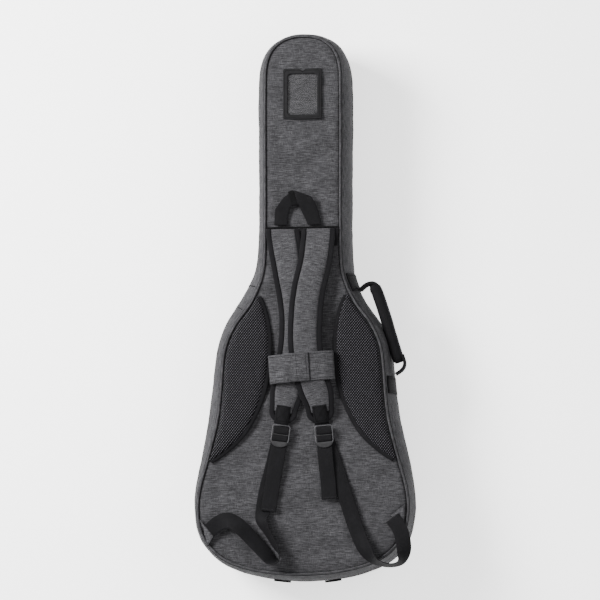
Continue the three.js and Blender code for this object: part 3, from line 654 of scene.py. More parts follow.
def side_wall(side, name, node, body, outline, material):
    """Padded side wall: bulging cloth outside, plain inside, with soft dents along it."""
    inner = 7 * MM
    shares = np.linspace(0.03, 0.985, 20)
    rows = []
    for i in range(len(outline.line)):
        x, y = outline.line[i]
        section = []
        for share in shares:
            d = share * WALL_HEIGHT
            dent = (wander((x, y, share * 0.06), 16, side * 3.7) * 1.5
                    + wander((x, y, share * 0.05), 60, 9) * 0.5)
            reach = wall_reach(outline.bulge[i], share) + dent * MM * math.sin(math.pi * share) ** 0.5
            reach -= 1.6 * MM * math.exp(-share * 60 / 4)
            section.append(outline.at(i, reach, ZIP_Z + side * d))
        section.append(outline.at(i, -1.8 * MM, ZIP_Z + side * 59.6 * MM))
        for share in (0.9, 0.5, 0.04):
            reach = wall_reach(outline.bulge[i], share) - inner
            section.append(outline.at(i, reach, ZIP_Z + side * share * WALL_HEIGHT))
        rows.append(section)
    wall = grid(name, rows, material, ring=True, tube=True)
    return place_piece(wall, body, node, slot="heather_fabric", fill=0.8)


def piping(side, name, node, body, outline, material):
    """Cloth-covered cord round a panel's edge, puckered a little by its seam."""
    middle = ZIP_Z + side * (HALF_DEPTH - 1.8 * MM)
    rows = []
    for i in range(len(outline.line)):
        x, y = outline.line[i]
        radius = PIPING * (1 + 0.06 * wander((x, y, 0), 420, side))
        rows.append([outline.at(i, radius * math.cos(a), middle + radius * math.sin(a))
                     for a in circle(10)])
    return skin(name, rows, material, body, node, slot="heather_fabric", ring=True)


def distance_to(points, line):
    """Shortest distance from each point to the points of a line."""
    return np.array([np.linalg.norm(line - p, axis=1).min() for p in points])


def folds(x, y):
    """Soft slanted wrinkles of the loose back cloth, in metres."""
    slant = wander((0.35 * x + 0.1 * y, y - 0.28 * x, 0), 26, 4.2)
    broad = wander((x, y, 0), 9, 1.3)
    fine = wander((0.4 * x, y - 0.2 * x, 0), 75, 7.7)
    return (4.8 * slant + 2.4 * broad + 1.2 * fine - 2.3) * MM


BEYOND = 9


def panel(name, node, body, outline, material, side, low_y, high_y):
    """One cloth-covered padded panel between two levels; a level BEYOND the bag cuts nothing off."""
    inset = 2.9 * MM
    edge = np.array([outline.line[i] - outline.out[i] * inset for i in range(len(outline.line))])
    right = edge[edge[:, 0] >= 0]
    right = right[np.argsort(-right[:, 1])]
    top, bottom = min(high_y, right[0, 1]), max(low_y, right[-1, 1])
    inside = right[(right[:, 1] < top - 0.5 * MM) & (right[:, 1] > bottom + 0.5 * MM)]
    widths = np.interp([-top, -bottom], -right[:, 1], right[:, 0])
    half = np.vstack([(max(widths[0], 1 * MM), top), inside, (max(widths[1], 1 * MM), bottom)])
    columns = np.linspace(-1, 1, 61)
    columns = np.sign(columns) * np.abs(columns) ** 0.85
    flat = np.array([(u * w, y) for w, y in half for u in columns])
    border = [edge[(edge[:, 1] < high_y) & (edge[:, 1] > low_y)]]
    for level in (high_y, low_y):
        if right[-1, 1] < level < right[0, 1]:
            width = np.interp(-level, -right[:, 1], right[:, 0])
            border.append(np.stack([np.linspace(-width, width, 90), np.full(90, level)], axis=1))
    depth = distance_to(flat, np.vstack(border)).reshape(len(half), len(columns))
    rows = []
    face = BACK_Z if side > 0 else FRONT_Z
    for depths, (w, y) in zip(depth, half):
        outer, inner = [], []
        for deep, u in zip(depths, columns):
            x = u * w
            drop = 4.2 * MM * math.exp(-deep / (7 * MM))
            lift = folds(x, y) * min(1, deep / (25 * MM))
            outer.append((x, y, face + side * (min(lift, 0.25 * MM) - drop)))
            inner.append((x, y, face - side * 9.5 * MM))
        rows.append(outer + inner[::-1])
    return skin(name, rows, material, body, node, slot="heather_fabric", fill=0.85)


def seam_line(name, body, outline, u, side, material, depth=2.6):
    """Dark line along the stitched seam beside the piping: painted shade in the crease."""
    z = ZIP_Z + side * (HALF_DEPTH - depth * MM)
    rows = [[outline.at(i, u + 0.55 * MM * math.cos(a), z + 0.4 * MM * math.sin(a))
             for a in circle(6)] for i in range(len(outline.line))]
    return skin(name, rows, material, body, ring=True)


def make_shells(outline, m):
    for side, body, word in ((1, "back_shell", "back"), (-1, "front_shell", "front")):
        side_wall(side, f"{word}_wall_cloth", f"{word}_gusset", body, outline, m["heather"])
        piping(side, f"{word}_piping_cloth", f"{word}_piping", body, outline, m["heather_piping"])
        # Painted shade lines in the creases either side of the piping.
        seam_line(f"{word}_seam_inner", body, outline, -2.6 * MM, side, m["dark_thread_and_shade"])
        seam_line(f"{word}_seam_outer", body, outline, 2.7 * MM, side, m["dark_thread_and_shade"], 4.0)
    wall_seams(outline, m)
    for name, node, body, side, low_y, high_y in (
            ("back_upper_cloth", "back_panel_upper", "back_shell", 1, SEAM_Y, BEYOND),
            ("back_lower_cloth", "back_panel_lower", "back_shell", 1, -BEYOND, SEAM_Y),
            ("front_cloth", "front_panel", "front_shell", -1, -BEYOND, BEYOND)):
        panel(name, node, body, outline, m["heather_flat"], side, low_y, high_y)


def wall_seams(outline, m):
    """Two seams across the left shoulder's wall, where a separate length of cloth is let in."""
    shares = np.linspace(0.06, 0.93, 30)
    for number, level in enumerate((38, -8)):
        left = [i for i in range(len(outline.line)) if outline.line[i][0] < 0]
        i = min(left, key=lambda k: abs(outline.line[k][1] - level * MM))
        rows = []
        for share in shares:
            rows.append([outline.on_wall(i, share, (0.2 + 0.5 * math.sin(a)) * MM)
                         + np.array((0, 0.9 * MM * math.cos(a), 0)) for a in circle(8)])
        skin(f"shoulder_seam_{number}", rows, m["dark_thread_and_shade"], "back_shell")


# ------------------------------------------------------------------ webbing and straps

# Half of a webbing's rounded section, as shares of its width and thickness; the rest mirrors it.
WEBBING_UPPER = [(-0.5, 0), (-0.49, 0.4), (-0.46, 0.5), (-0.25, 0.5), (0, 0.5), (0.25, 0.5), (0.46, 0.5),
                 (0.49, 0.4)]
WEBBING_PROFILE = WEBBING_UPPER + [(-a, -b) for a, b in WEBBING_UPPER]

def frames_along(route, count):
    """Points, sideways and upward directions and the fourth value along a route in mm."""
    curve = smooth_curve(np.array(route, float), 8 * count)
    curve = resample(curve, count)
    points = curve[:, :3] * MM
    along = tangents(points)
    side = np.stack([-along[:, 1], along[:, 0], np.zeros(count)], axis=1)
    side /= np.linalg.norm(side, axis=1, keepdims=True)
    return points, along, side, curve[:, 3]


def ribbon_rows(route, count, wave=0.0):
    """Rounded flat sections of webbing along a route whose fourth value is its roll in degrees."""
    points, along, side, roll = frames_along(route, count)
    rows, edges, normals = [], [], []
    for p, t, s, angle in zip(points, along, side, roll):
        turn = Matrix.Rotation(math.radians(angle), 3, Vector(t))
        across = np.array(turn @ Vector(s))
        normal = np.cross(t, across)
        ripple = wave * wander(p, 45, 2.2) * MM
        rows.append([p + across * a * WEBBING + normal * (b * WEBBING_THICK + ripple * (1 - 2 * abs(a)))
                     for a, b in WEBBING_PROFILE])
        edges.append(across)
        normals.append(normal)
    return points, np.array(rows), np.array(edges), np.array(normals)


def webbing_strip(name, route, count, body, node, material):
    points, rows, _, _ = ribbon_rows(route, count, wave=0.5)
    strip = grid(name, rows, material, tube=True)
    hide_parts(node)
    if body:
        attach(strip, body)
    return strip


def make_webbings(m):
    for word in ("left", "right"):
        body = f"{word}_tail"
        webbing_strip(f"{word}_tail_webbing", TAILS[word], 60, body, body, m["webbing"])
        points, _, across, normals = ribbon_rows(TAILS[word], 60)
        hem = points[-3] + normals[-3] * 1.1 * MM
        line = np.linspace(hem - across[-3] * 12.5 * MM, hem + across[-3] * 12.5 * MM, 20)
        stitches(f"{word}_tail_hem", line, upward(line), body, m["thread"])
        lower = webbing_strip(f"{word}_lower_strip", LOWER_WEBBINGS[word], 150, None,
                              f"{word}_lower_webbing", m["webbing"])
        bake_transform(lower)


def strap_reach(share):
    """Half width of a strap in mm, narrowing to its lower end."""
    t = min(max((share - 0.88) / 0.12, 0), 1)
    return STRAP_HALF_WIDTH + (STRAP_END_HALF_WIDTH - STRAP_HALF_WIDTH) * t * t * (3 - 2 * t)


def strap_core(word, m):
    """Padded middle of a strap: crowned cloth with soft dents."""
    count = 120
    points, _, side, half = frames_along(STRAPS[word], count)
    rows = []
    for k in range(count):
        reach = (strap_reach(k / (count - 1)) - STRAP_BINDING + 1.5) * MM
        section = []
        for a in circle(28):
            x, z = math.cos(a), math.sin(a)
            crown = rounded(z, 0.8)
            dent = wander(points[k] + side[k] * x * reach, 38, 5.1) * 0.5 * MM * max(z, 0)
            lift = crown * (half[k] * MM + 0.1 * MM) + dent
            section.append(points[k] + side[k] * rounded(x, 0.75) * reach + rise(lift))
        rows.append(section)
    pad = swell(grid(f"{word}_strap_pad", rows, m["heather_strap"], tube=True), 1.0 * MM)
    return place_piece(pad, f"{word}_strap", f"{word}_strap", slot="heather_fabric", fill=0.8)


def strap_edge(word):
    """Edge line of a strap from its upper left, round its lower end, to its upper right."""
    points, along, side, _ = frames_along(STRAPS[word], 110)
    reach = np.array([strap_reach(k / 109) for k in range(110)])[:, None] * MM
    left = [(p, -s) for p, s in zip(points + side * reach, side)]
    right = [(p, s) for p, s in zip(points - side * reach, side)][::-1]
    end = []
    for angle in np.linspace(0, math.pi, 18)[1:-1]:
        outward = (side[-1] * math.cos(angle) * STRAP_END_HALF_WIDTH
                   + along[-1] * math.sin(angle) * STRAP_END_LENGTH) * MM
        end.append((points[-1] + outward, -outward / np.linalg.norm(outward)))
    return left + end + right


def strap_binding(word, m):
    """Folded binding sewn round the strap's edge, with the upper of its two rows of stitching."""
    frames = strap_edge(word)
    profile = [(0, 0), (0.2, 0.8), (1.4, 1.5), (3.5, 1.9), (7, 2.1), (9.8, 2.0), (10.9, 1.3),
               (10.9, -1.3), (9.8, -1.6), (7, -1.7), (3.5, -1.6), (1.4, -1.3), (0.2, -0.7)]
    rows, top = [], []
    for p, inward in frames:
        pucker = 0.25 * wander(p, 220, 3.3)
        rows.append([p + inward * a * MM + rise((b + pucker) * MM) for a, b in profile])
        top.append(p + inward * 9.2 * MM + rise((2.15 + pucker) * MM))
    body = f"{word}_strap"
    skin(f"{word}_strap_edge", rows, m["binding"], body,
                f"{word}_strap_binding", slot="binding")
    stitches(f"{word}_strap_stitch", np.array(top), upward(top), body, m["dark_thread_and_shade"])


def strap_patch(word, m):
    """Webbing sewn on the strap's end with a boxed cross, running down to the buckle."""
    points, along, side, half = frames_along(STRAPS[word], 120)
    start = 115
    ends = [points[-1] + along[-1] * d * MM + rise(-0.5 * MM * d / 10) for d in (6, 12, 18, 25)]
    line = np.vstack([points[start:], ends])
    lift = np.concatenate([half[start:] + 1.2, np.full(len(ends), half[-1] + 1.0)])
    line = line + np.stack([np.zeros(len(line)), np.zeros(len(line)), lift * MM], axis=1)
    across = np.vstack([side[start:], np.tile(side[-1], (len(ends), 1))])
    half_width = WEBBING / 2 * 0.96
    rows = [[p + s * a * half_width + rise(b * 0.8 * MM) for a, b in
             ((-1, 0), (-0.96, 1), (0, 1.2), (0.96, 1), (1, 0), (0.96, -1), (0, -1), (-0.96, -1))]
            for p, s in zip(line, across)]
    body = f"{word}_strap"
    skin(f"{word}_strap_webbing", rows, m["webbing"], body,
                f"{word}_strap_patch", slot="webbing")
    upper, lower = line[0] + along[start] * 2.5 * MM, line[-2]
    left, right = across[0] * half_width * 0.8, across[-2] * half_width * 0.8
    corners = [upper + left, upper - left, lower - right, lower + right]
    cross = [0, 1, 2, 3, 0, 2, 3, 1]
    path = np.vstack([np.linspace(corners[a], corners[b], 12) for a, b in zip(cross, cross[1:])])
    path[:, 2] += 1.05 * MM
    stitches(f"{word}_patch_stitch", path, upward(path), body, m["dark_thread_and_shade"], 2.6, 1.9)


def strap_root(m):
    """Spare webbing folded under the right strap's outer corner at the seam."""
    rows = []
    for y in np.linspace(155.6, 121, 14):
        right = 74 - 4 * (156 - y) / 36
        rows.append([np.array((x, y, 161.8 + z)) * MM for x, z in
                     ((58, 0), (58, 1.0), (66, 1.4), (right - 0.5, 1.2), (right, 0.4), (right, 0))])
    skin("right_strap_root", rows, m["binding"], "back_shell")


def make_straps(m):
    for word in ("left", "right"):
        strap_core(word, m)
        strap_binding(word, m)
        strap_patch(word, m)
    strap_root(m)


# ------------------------------------------------------------------ grip wrap

WRAP_TURN = math.radians(4)
WRAP_CENTRE = np.array((1, -123.5, 0))
WRAP_HALF = 28.5
WRAP_STITCH = 24.2


def wrap_point(x, y, z):
    """From the wrap's own frame, in mm, to the bag's, in metres."""
    c, s = math.cos(WRAP_TURN), math.sin(WRAP_TURN)
    return np.array((WRAP_CENTRE[0] + c * x - s * y, WRAP_CENTRE[1] + s * x + c * y, z)) * MM


def wrap_top(line, along, k, y, lift):
    """The point lift above station k of a wrap panel's middle line, at y across it."""
    return wrap_point(line[k, 0] - along[k, 1] * lift, y, line[k, 1] + along[k, 0] * lift)


def wrap_panel(name, node, body, middle_line, thick, material, seed):
    """Padded cloth panel of the wrap: a thick rounded sheet along a line in x and z."""
    line = resample(smooth_curve(np.array([(x, z, 0) for x, z in middle_line], float), 120), 64)
    along = tangents(line)
    columns = np.linspace(-1, 1, 25)
    rows = []
    for k, (p, t) in enumerate(zip(line, along)):
        normal = np.array((-t[1], t[0]))
        end = min(k, len(line) - 1 - k) / 4
        outer, inner = [], []
        for c in columns:
            rim = min(1.0, (1 - abs(c)) * WRAP_HALF / 3.0, 0.35 + end)
            puff = thick / 2 * max(rim, 0.12) ** 0.5
            soft = 0.35 * wander((p[0] * MM, c * 0.03, 0), 60, seed)
            skew = 0.5 * wander((p[0] * MM, c, 0), 25, seed + 2)
            y = c * WRAP_HALF + skew
            outer.append(wrap_point(p[0] + normal[0] * (puff + soft), y, p[1] + normal[1] * (puff + soft)))
            inner.append(wrap_point(p[0] - normal[0] * puff, y, p[1] - normal[1] * puff))
        rows.append(outer + inner[::-1])
    skin(name, rows, material, body, node, slot="heather_fabric", fill=0.5)
    return line, along


def wrap_stitch(name, body, line, along, first, last, thick, m):
    """Rows of edge stitching on a wrap panel, from one share of its line to another."""
    for number, offset in enumerate((-WRAP_STITCH, WRAP_STITCH)):
        span = range(int(first * len(line)), int(last * len(line)))
        path = [wrap_top(line, along, k, offset, thick / 2 + 0.2) for k in span]
        stitches(f"{name}_{number}", np.array(path), upward(path), body, m["dark_thread_and_shade"])


def cross_stitch(name, body, line, along, share, thick, m):
    """A row of stitching straight across a wrap panel."""
    k = int(share * (len(line) - 1))
    path = [wrap_top(line, along, k, y, thick / 2 + 0.25)
            for y in np.linspace(-WRAP_HALF + 3, WRAP_HALF - 3, 20)]
    stitches(name, np.array(path), upward(path), body, m["dark_thread_and_shade"])


def make_wrap(m):
    base = [(-66, 172.6), (-66, 167.5), (-64.6, 164.9), (-60, 164.2), (0, 164.2), (58, 164.2), (62, 165.2),
            (63, 170), (63, 178)]
    wrap_panel("wrap_under", "wrap_base", "left_strap", base, 1.5, m["heather_wrap"], 1.0)
    left = [(-65.6, 174.6), (-61.5, 177.4), (-32, 185.6), (-13, 188.2), (15, 188.4)]
    body = "wrap_flap_left"
    line, along = wrap_panel("wrap_over_left", body, body, left, 2.6, m["heather_wrap"], 2.0)
    wrap_stitch("wrap_left_edge", body, line, along, 0.04, 0.97, 2.6, m)
    # A thin dark strip along the flap's free end: painted shadow of the flap's edge.
    end = [wrap_point(line[-1, 0] + 0.6, y, line[-1, 1] - 0.6)
           for y in np.linspace(-WRAP_HALF + 0.6, WRAP_HALF - 0.6, 30)]
    rim = [np.array((0.3 * math.cos(a), 0, 0.9 * math.sin(a))) * MM for a in circle(8)]
    shade = [[p + step for step in rim] for p in end]
    skin("wrap_left_shadow_line", shade, m["dark_thread_and_shade"], body)
    for number, share in enumerate((0.7, 0.94)):
        cross_stitch(f"wrap_left_cross_{number}", body, line, along, share, 2.6, m)
    right = [(62.8, 179.8), (60, 181.2), (50, 184.2), (40, 185.4), (-11, 185.4)]
    body = "wrap_flap_right"
    line, along = wrap_panel("wrap_over_right", body, body, right[::-1], 2.2, m["heather_wrap"], 3.0)
    wrap_stitch("wrap_right_edge", body, line, along, 0.32, 0.96, 2.2, m)


# ------------------------------------------------------------------ mesh pads

def pad_lines(side, outline, count=90):
    """Inner edge and rim of a mesh pad, from its top tip to its bottom tip."""
    inner = smooth_curve(np.array([(side * x, y, 0) for x, y in PAD_INNER], float), 4 * count)[:, :2] * MM
    inner = resample(inner, count)
    rim = np.array([outline.line[i] - outline.out[i] * 4.2 * MM for i in range(len(outline.line))])
    rim = rim[(side * rim[:, 0] > 0) & (rim[:, 1] < 32 * MM) & (rim[:, 1] > -316 * MM)]
    rim = resample(rim[np.argsort(-rim[:, 1])], count)
    return inner, rim


def make_pads(outline, m):
    low = BACK_Z + 0.2 * MM
    for side, word in ((-1, "left"), (1, "right")):
        inner, rim = pad_lines(side, outline)
        across = rim - inner
        widths = np.linalg.norm(across, axis=1, keepdims=True)
        direction = across / np.maximum(widths, 1e-9)
        rows, binding_rows, stitch_line = [], [], []
        for k in range(2, len(inner) - 2):
            width = widths[k, 0]
            start = inner[k] + direction[k] * min(6 * MM, 0.4 * width)
            top, bottom = [], []
            for s in np.linspace(0, 1, 30):
                p = start + (rim[k] - start) * s
                crown = (4 * s * (1 - s)) ** 0.45 if 0 < s < 1 else 0
                height = min(5.4 * MM, 0.16 * width) * crown + 0.25 * MM * wander((*p, 0), 50, 6.1) * crown
                top.append((*p, low + 0.5 * MM + height))
                bottom.append((*p, low))
            rows.append(top + bottom[::-1])
            band = min(PAD_BINDING * MM, 0.8 * width)
            section = [inner[k] + direction[k] * band * s for s in (0, 0.04, 0.15, 0.5, 0.85, 0.96, 1)]
            heights = (0.2, 1.6, 2.4, 2.9, 3.4, 3.2, 1.6)
            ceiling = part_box("wrap_base")[0].z - 0.3 * MM
            binding_rows.append([(*p, min(low + h * MM, ceiling)) for p, h in zip(section, heights)]
                                + [(*section[-1], low), (*section[0], low)])
            seam_top = min(low + 3.5 * MM, ceiling + 0.2 * MM)
            stitch_line.append((*(inner[k] + direction[k] * band * 0.86), seam_top))
        body = "back_shell"
        cushion = swell(grid(f"{word}_mesh_cushion", rows, m["mesh"], tube=True), 1.5 * MM, low)
        place_piece(cushion, body, f"mesh_pad_{word}", slot="spacer_mesh", fill=0.7)
        skin(f"{word}_mesh_edge", binding_rows, m["binding"], body,
                    f"mesh_binding_{word}", slot="binding")
        stitches(f"{word}_mesh_stitch", np.array(stitch_line), upward(stitch_line), body, m["dark_thread_and_shade"])


# ------------------------------------------------------------------ haul loop and side handle

def edge_strip(name, stations, count, material):
    """Webbing between two edge lines; each station is a point in mm on either edge."""
    curve = resample(np.array([(*a, *b) for a, b in stations], float), count) * MM
    near, far = curve[:, :3], curve[:, 3:]
    along = tangents((near + far) / 2)
    rows = []
    for p, q, t in zip(near, far, along):
        across = (q - p) / np.linalg.norm(q - p)
        normal = np.cross(t, across)
        normal /= np.linalg.norm(normal)
        rows.append([p + (q - p) * (a + 0.5) + normal * b * WEBBING_THICK
                     for a, b in WEBBING_PROFILE])
    return grid(name, rows, material, tube=True), (near + far) / 2


# The haul loop's edges: up the right leg, over the fold at the top and down the left leg.
HAUL_RIGHT = [((38, 163.5, 162.6), (11, 163.5, 162.4)), ((35.5, 177, 164.5), (8, 172, 163.6)),
              ((30, 197, 169), (-1.5, 191, 167)), ((24, 212, 173), (-8, 206, 171)),
              ((19, 219, 174.2), (-12, 219, 173)), ((15, 220.5, 174.6), (-15, 232, 174.2))]
HAUL_BACK = [((17, 217.5, 171.4), (-14, 231, 171.4)), ((2, 205, 170.4), (-20, 232.5, 170.6)),
             ((-21, 201, 169.6), (-28, 230, 169.4))]
HAUL_LEFT = [((-20, 203, 168.2), (-17, 233, 168)), ((-25, 196, 167), (-38, 218, 167.4)),
             ((-27, 186, 165.2), (-54, 196, 166)), ((-29, 174, 163.4), (-55.5, 176, 163.8)),
             ((-29.5, 163.5, 162.4), (-56, 163.5, 162.5))]


def make_haul_loop(m):
    """Webbing loop: two flat legs, creased where the webbing folds over at the top; the face behind the fold
    is darker as painted shade.
    """
    # The back face under the fold uses the darkest webbing as painted shade.
    for name, stations, look in (("haul_loop_right", HAUL_RIGHT, "webbing"),
                                 ("haul_loop_back", HAUL_BACK, "seam"),
                                 ("haul_loop_left", HAUL_LEFT, "webbing")):
        strip, middle = edge_strip(name, stations, 30, m[look])
        place_piece(strip, "haul_loop", "haul_loop", slot="webbing")


def tube_rows(points, along, up, half_width, half_height, power=2.4, corners=20):
    """Rounded-box sections along a line."""
    rows = []
    for k, (p, t) in enumerate(zip(points, along)):
        side = np.cross(t, up)
        side /= np.linalg.norm(side)
        top = np.cross(side, t)
        section = []
        for a in circle(corners):
            c, s = math.cos(a), math.sin(a)
            x = rounded(c, 2 / power) * half_width[k]
            z = rounded(s, 2 / power) * half_height[k]
            section.append(p + side * x + top * z)
        rows.append(section)
    return rows


# The grip's centre line and the webbing arches at its ends, in mm.
GRIP_LINE = [(138, 46), (145, 33), (151.5, 15), (159, -8), (166, -31), (174, -59), (182, -86),
             (189.5, -110)]
HANDLE_UPPER_ARCH = [(112.8, 36), (117, 40), (124, 45.5), (132.5, 48.5), (141, 47.5), (148, 41), (154, 29)]
HANDLE_LOWER_ARCH = [(196, -95), (200, -108), (200, -116), (196, -124), (190, -129), (182.5, -134)]


def make_side_handle(m):
    """Padded grip with a welt along it, held by webbing arches at both ends."""
    low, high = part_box("handle_grip")
    z = (low.z + high.z) / 2
    radius = (high.z - low.z) / 2
    count = 60
    share = np.linspace(0, 1, count)
    line = resample(smooth_curve(np.array([(x, y, z / MM) for x, y in GRIP_LINE], float), 120), count) * MM
    outward = np.cross((line[-1] - line[0]) / np.linalg.norm(line[-1] - line[0]), (0, 0, 1.0))
    outward *= np.sign(outward[0])
    along = tangents(line)
    end = np.minimum(1, np.minimum(share, 1 - share) * 12 + 0.45) ** 0.5
    size = np.array([radius * 1.08 * e * (1 + 0.03 * wander(p, 60, 8)) for p, e in zip(line, end)])
    upright = rise(1.0)
    grip = grid("side_grip", tube_rows(line, along, upright, size * 0.98, size), m["webbing"], tube=True)
    place_piece(grip, "side_handle", "handle_grip", slot="webbing", fill=0.9)
    ring = np.full(count, 1.7 * MM)
    for number, angle in enumerate((0.6, -0.6)):
        side = outward * math.cos(angle) + upright * math.sin(angle)
        welt = line + side * (size * 0.97)[:, None]
        skin(f"side_grip_welt_{number}", tube_rows(welt[2:-2], along[2:-2], upright, ring, ring, 2.0, 8),
                         m["welt"], "side_handle")
    for word, route, half_thick in (("upper", HANDLE_UPPER_ARCH, 4.4), ("lower", HANDLE_LOWER_ARCH, 3.2)):
        path = smooth_curve(np.array([(x, y, z / MM) for x, y in route], float), 80)
        path = resample(path, 40) * MM
        heights = np.full(40, 11 * MM)
        thick = np.full(40, half_thick * MM)
        skin(f"handle_arch_{word}", tube_rows(path, tangents(path), upright, thick, heights, 3.0),
             m["webbing"], "side_handle", f"handle_end_{word}", slot="webbing")


def make_handle_patches(outline, m):
    for word, low_y, high_y in (("upper", 27, 68), ("lower", -178, -138)):
        kept = outline.picked(lambda x, y: x > 0 and low_y * MM < y < high_y * MM)
        shares = np.linspace(0.1, 0.93, 12)
        rows = []
        for i in kept:
            outer = [outline.on_wall(i, s, 2.2 * MM) for s in shares]
            inner = [outline.on_wall(i, s, 0.2 * MM) for s in shares]
            rows.append(outer + inner[::-1])
        skin(f"handle_patch_{word}_cloth", rows, m["webbing"], "back_shell",
                    f"handle_patch_{word}", slot="webbing")
        for number, pick in enumerate((1, -2)):
            i = kept[pick]
            line = np.array([outline.on_wall(i, s, 2.4 * MM) for s in shares])
            ups = np.tile((*outline.out[i], 0.0), (len(line), 1))
            stitches(f"patch_{word}_stitch_{number}", line, ups, "back_shell", m["dark_thread_and_shade"])


# ------------------------------------------------------------------ buckles

def loop_tube(name, path, radius, material):
    """A bar of round section along a closed path."""
    along = tangents(path, closed=True)
    rows = []
    for p, t in zip(path, along):
        side = np.cross(t, (0, 0, 1.0))
        side /= np.linalg.norm(side)
        rows.append([p + side * radius * math.cos(a) + rise(radius * math.sin(a))
                     for a in circle(10)])
    return grid(name, rows, material, ring=True, tube=True)


def make_buckle(word, centre, turn, m):
    """Ladder lock: slim rounded frame, webbing turned over its bars, and a half-moon tab."""
    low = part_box(f"{word}_ladder_lock")[0]
    z = low.z / MM + 2.4
    c, s = math.cos(turn), math.sin(turn)
    body = f"{word}_ladder_lock"

    def spot(x, y, lift=0.0):
        return np.array((centre[0] + c * x - s * y, centre[1] + s * x + c * y, z + lift)) * MM

    half_x, top, bottom, corner = 17.2, 21.4, -13, 4.5
    points = []
    for cx, y, start in ((1, top, 0), (-1, top, 90), (-1, bottom, 180), (1, bottom, 270)):
        for step in range(7):
            a = math.radians(start + 15 * step)
            lift = -corner if y == top else corner
            points.append((cx * (half_x - corner) + corner * math.cos(a), y + lift + corner * math.sin(a)))
    # The frame is in the lighter copy of the plastic: painted highlight on its rim.
    path = resample(np.array([spot(x, y, 1.6) for x, y in points]), 90, closed=True)
    place_piece(loop_tube(f"{word}_lock_frame", path, 1.0 * MM, m["plastic_edge_highlight"]), body, body,
                slot="buckle_plastic")
    for number, (y, half_y, lift) in enumerate(((11.6, 7.4, 1.0), (-4.6, 6.2, 0.4))):
        rows = []
        for x in np.linspace(-14.6, 14.6, 26):
            section = []
            for a in circle(20):
                up = rounded(math.sin(a), 0.8)
                sag = 0.3 * wander((x * MM, y * MM, 0), 70, number)
                section.append(spot(x, y + half_y * math.cos(a), lift + sag + 1.9 * up))
            rows.append(section)
        skin(f"{word}_lock_band_{number}", rows, m["webbing"], body)
    for number, y in enumerate((2.2, -12.0)):
        line = np.array([spot(x, y, -0.6) for x in np.linspace(-half_x, half_x, 12)])
        size = np.full(12, 1.5 * MM)
        bar = grid(f"{word}_lock_bar_{number}", tube_rows(line, tangents(line), rise(1.0), size, size),
                   m["plastic"], tube=True)
        place_piece(bar, body)
    rows = []
    reach = 16.4
    for x in np.linspace(-reach + 0.3, reach - 0.3, 31):
        depth = 10.6 * math.sqrt(1 - (x / reach) ** 2) + 0.4
        upper = [spot(x, -11.8 - depth * t, 4.8 - 1.2 * t * t - 0.25 * (k % 2))
                 for k, t in enumerate(np.linspace(0, 1, 10))]
        under = [spot(x, -11.8 - depth * t, 2.8 - 0.8 * t * t) for t in np.linspace(1, 0, 6)]
        rows.append(upper + under)
    skin(f"{word}_lock_tab", rows, m["plastic_tab"], body)


# ------------------------------------------------------------------ tag pocket, seam tape, tabs

def make_tag_pocket(m):
    """Vinyl frame with a raised rim and notch round a clear window."""
    low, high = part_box("tag_frame")
    window_low, window_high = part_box("tag_window")
    x0, x1, y0, y1 = low.x, high.x, low.y, high.y
    u0, u1, v0, v1 = window_low.x, window_high.x, window_low.y, window_high.y
    base = BACK_Z + 0.1 * MM

    def loop(x_low, x_high, y_low, y_high, corner, notch, z):
        points = []
        for cx, cy, start in ((x_high - corner, y_high - corner, 0),
                              (x_low + corner, y_high - corner, 90),
                              (x_low + corner, y_low + corner, 180),
                              (x_high - corner, y_low + corner, 270)):
            for step in range(9):
                a = math.radians(start + 90 * step / 8)
                points.append((cx + corner * math.cos(a), cy + corner * math.sin(a)))
            if start == 0 and notch:
                middle = (x_low + x_high) / 2
                points += [(middle + notch, y_high), (middle, y_high - 0.8 * notch), (middle - notch, y_high)]
        return np.array([(x, y, z) for x, y in resample(np.array(points), 240, closed=True)])

    mid = [(x0 + u0) / 2, (x1 + u1) / 2, (y0 + v0) / 2, (y1 + v1) / 2]
    heights = [(x0, x1, y0, y1, 3 * MM, 7 * MM, 0.0), (x0, x1, y0, y1, 3 * MM, 7 * MM, 1.3),
               (x0 + 1 * MM, x1 - 1 * MM, y0 + 1 * MM, y1 - 1 * MM, 3 * MM, 6 * MM, 1.9),
               (x0 + 2.4 * MM, x1 - 2.4 * MM, y0 + 2.4 * MM, y1 - 2.4 * MM, 4 * MM, 5 * MM, 1.5),
               (mid[0], mid[1], mid[2], mid[3], 6 * MM, 0, 1.6),
               (u0 - 2 * MM, u1 + 2 * MM, v0 - 2 * MM, v1 + 2 * MM, 8 * MM, 0, 2.2),
               (u0, u1, v0, v1, 8 * MM, 0, 2.0), (u0, u1, v0, v1, 8 * MM, 0, 0.0)]
    rings = [loop(*h[:6], base + h[6] * MM) for h in heights]
    frame_piece = grid("tag_surround", np.array(rings).transpose(1, 0, 2), m["vinyl"], ring=True, tube=True)
    place_piece(frame_piece, "back_shell", "tag_frame", slot="binding")
    inset = 3.4 * MM
    line = loop(x0 + inset, x1 - inset, y0 + inset, y1 - inset, 4 * MM, 4 * MM, base + 1.75 * MM)
    stitches("tag_stitch", line, upward(line), "back_shell", m["dark_thread_and_shade"], 2.8, 2.0)
    columns = np.linspace(u0, u1, 40)
    lines = np.linspace(v0, v1, 56)
    rows = []
    for y in lines:
        top = [(x, y, base + 0.9 * MM + 0.5 * MM * wander((x, y, 0), 40, 2.5)) for x in columns]
        rows.append(top + [(x, y, z - 0.25 * MM) for x, y, z in reversed(top)])
    skin("tag_film", rows, m["film"], "back_shell", "tag_window", slot="clear_film")


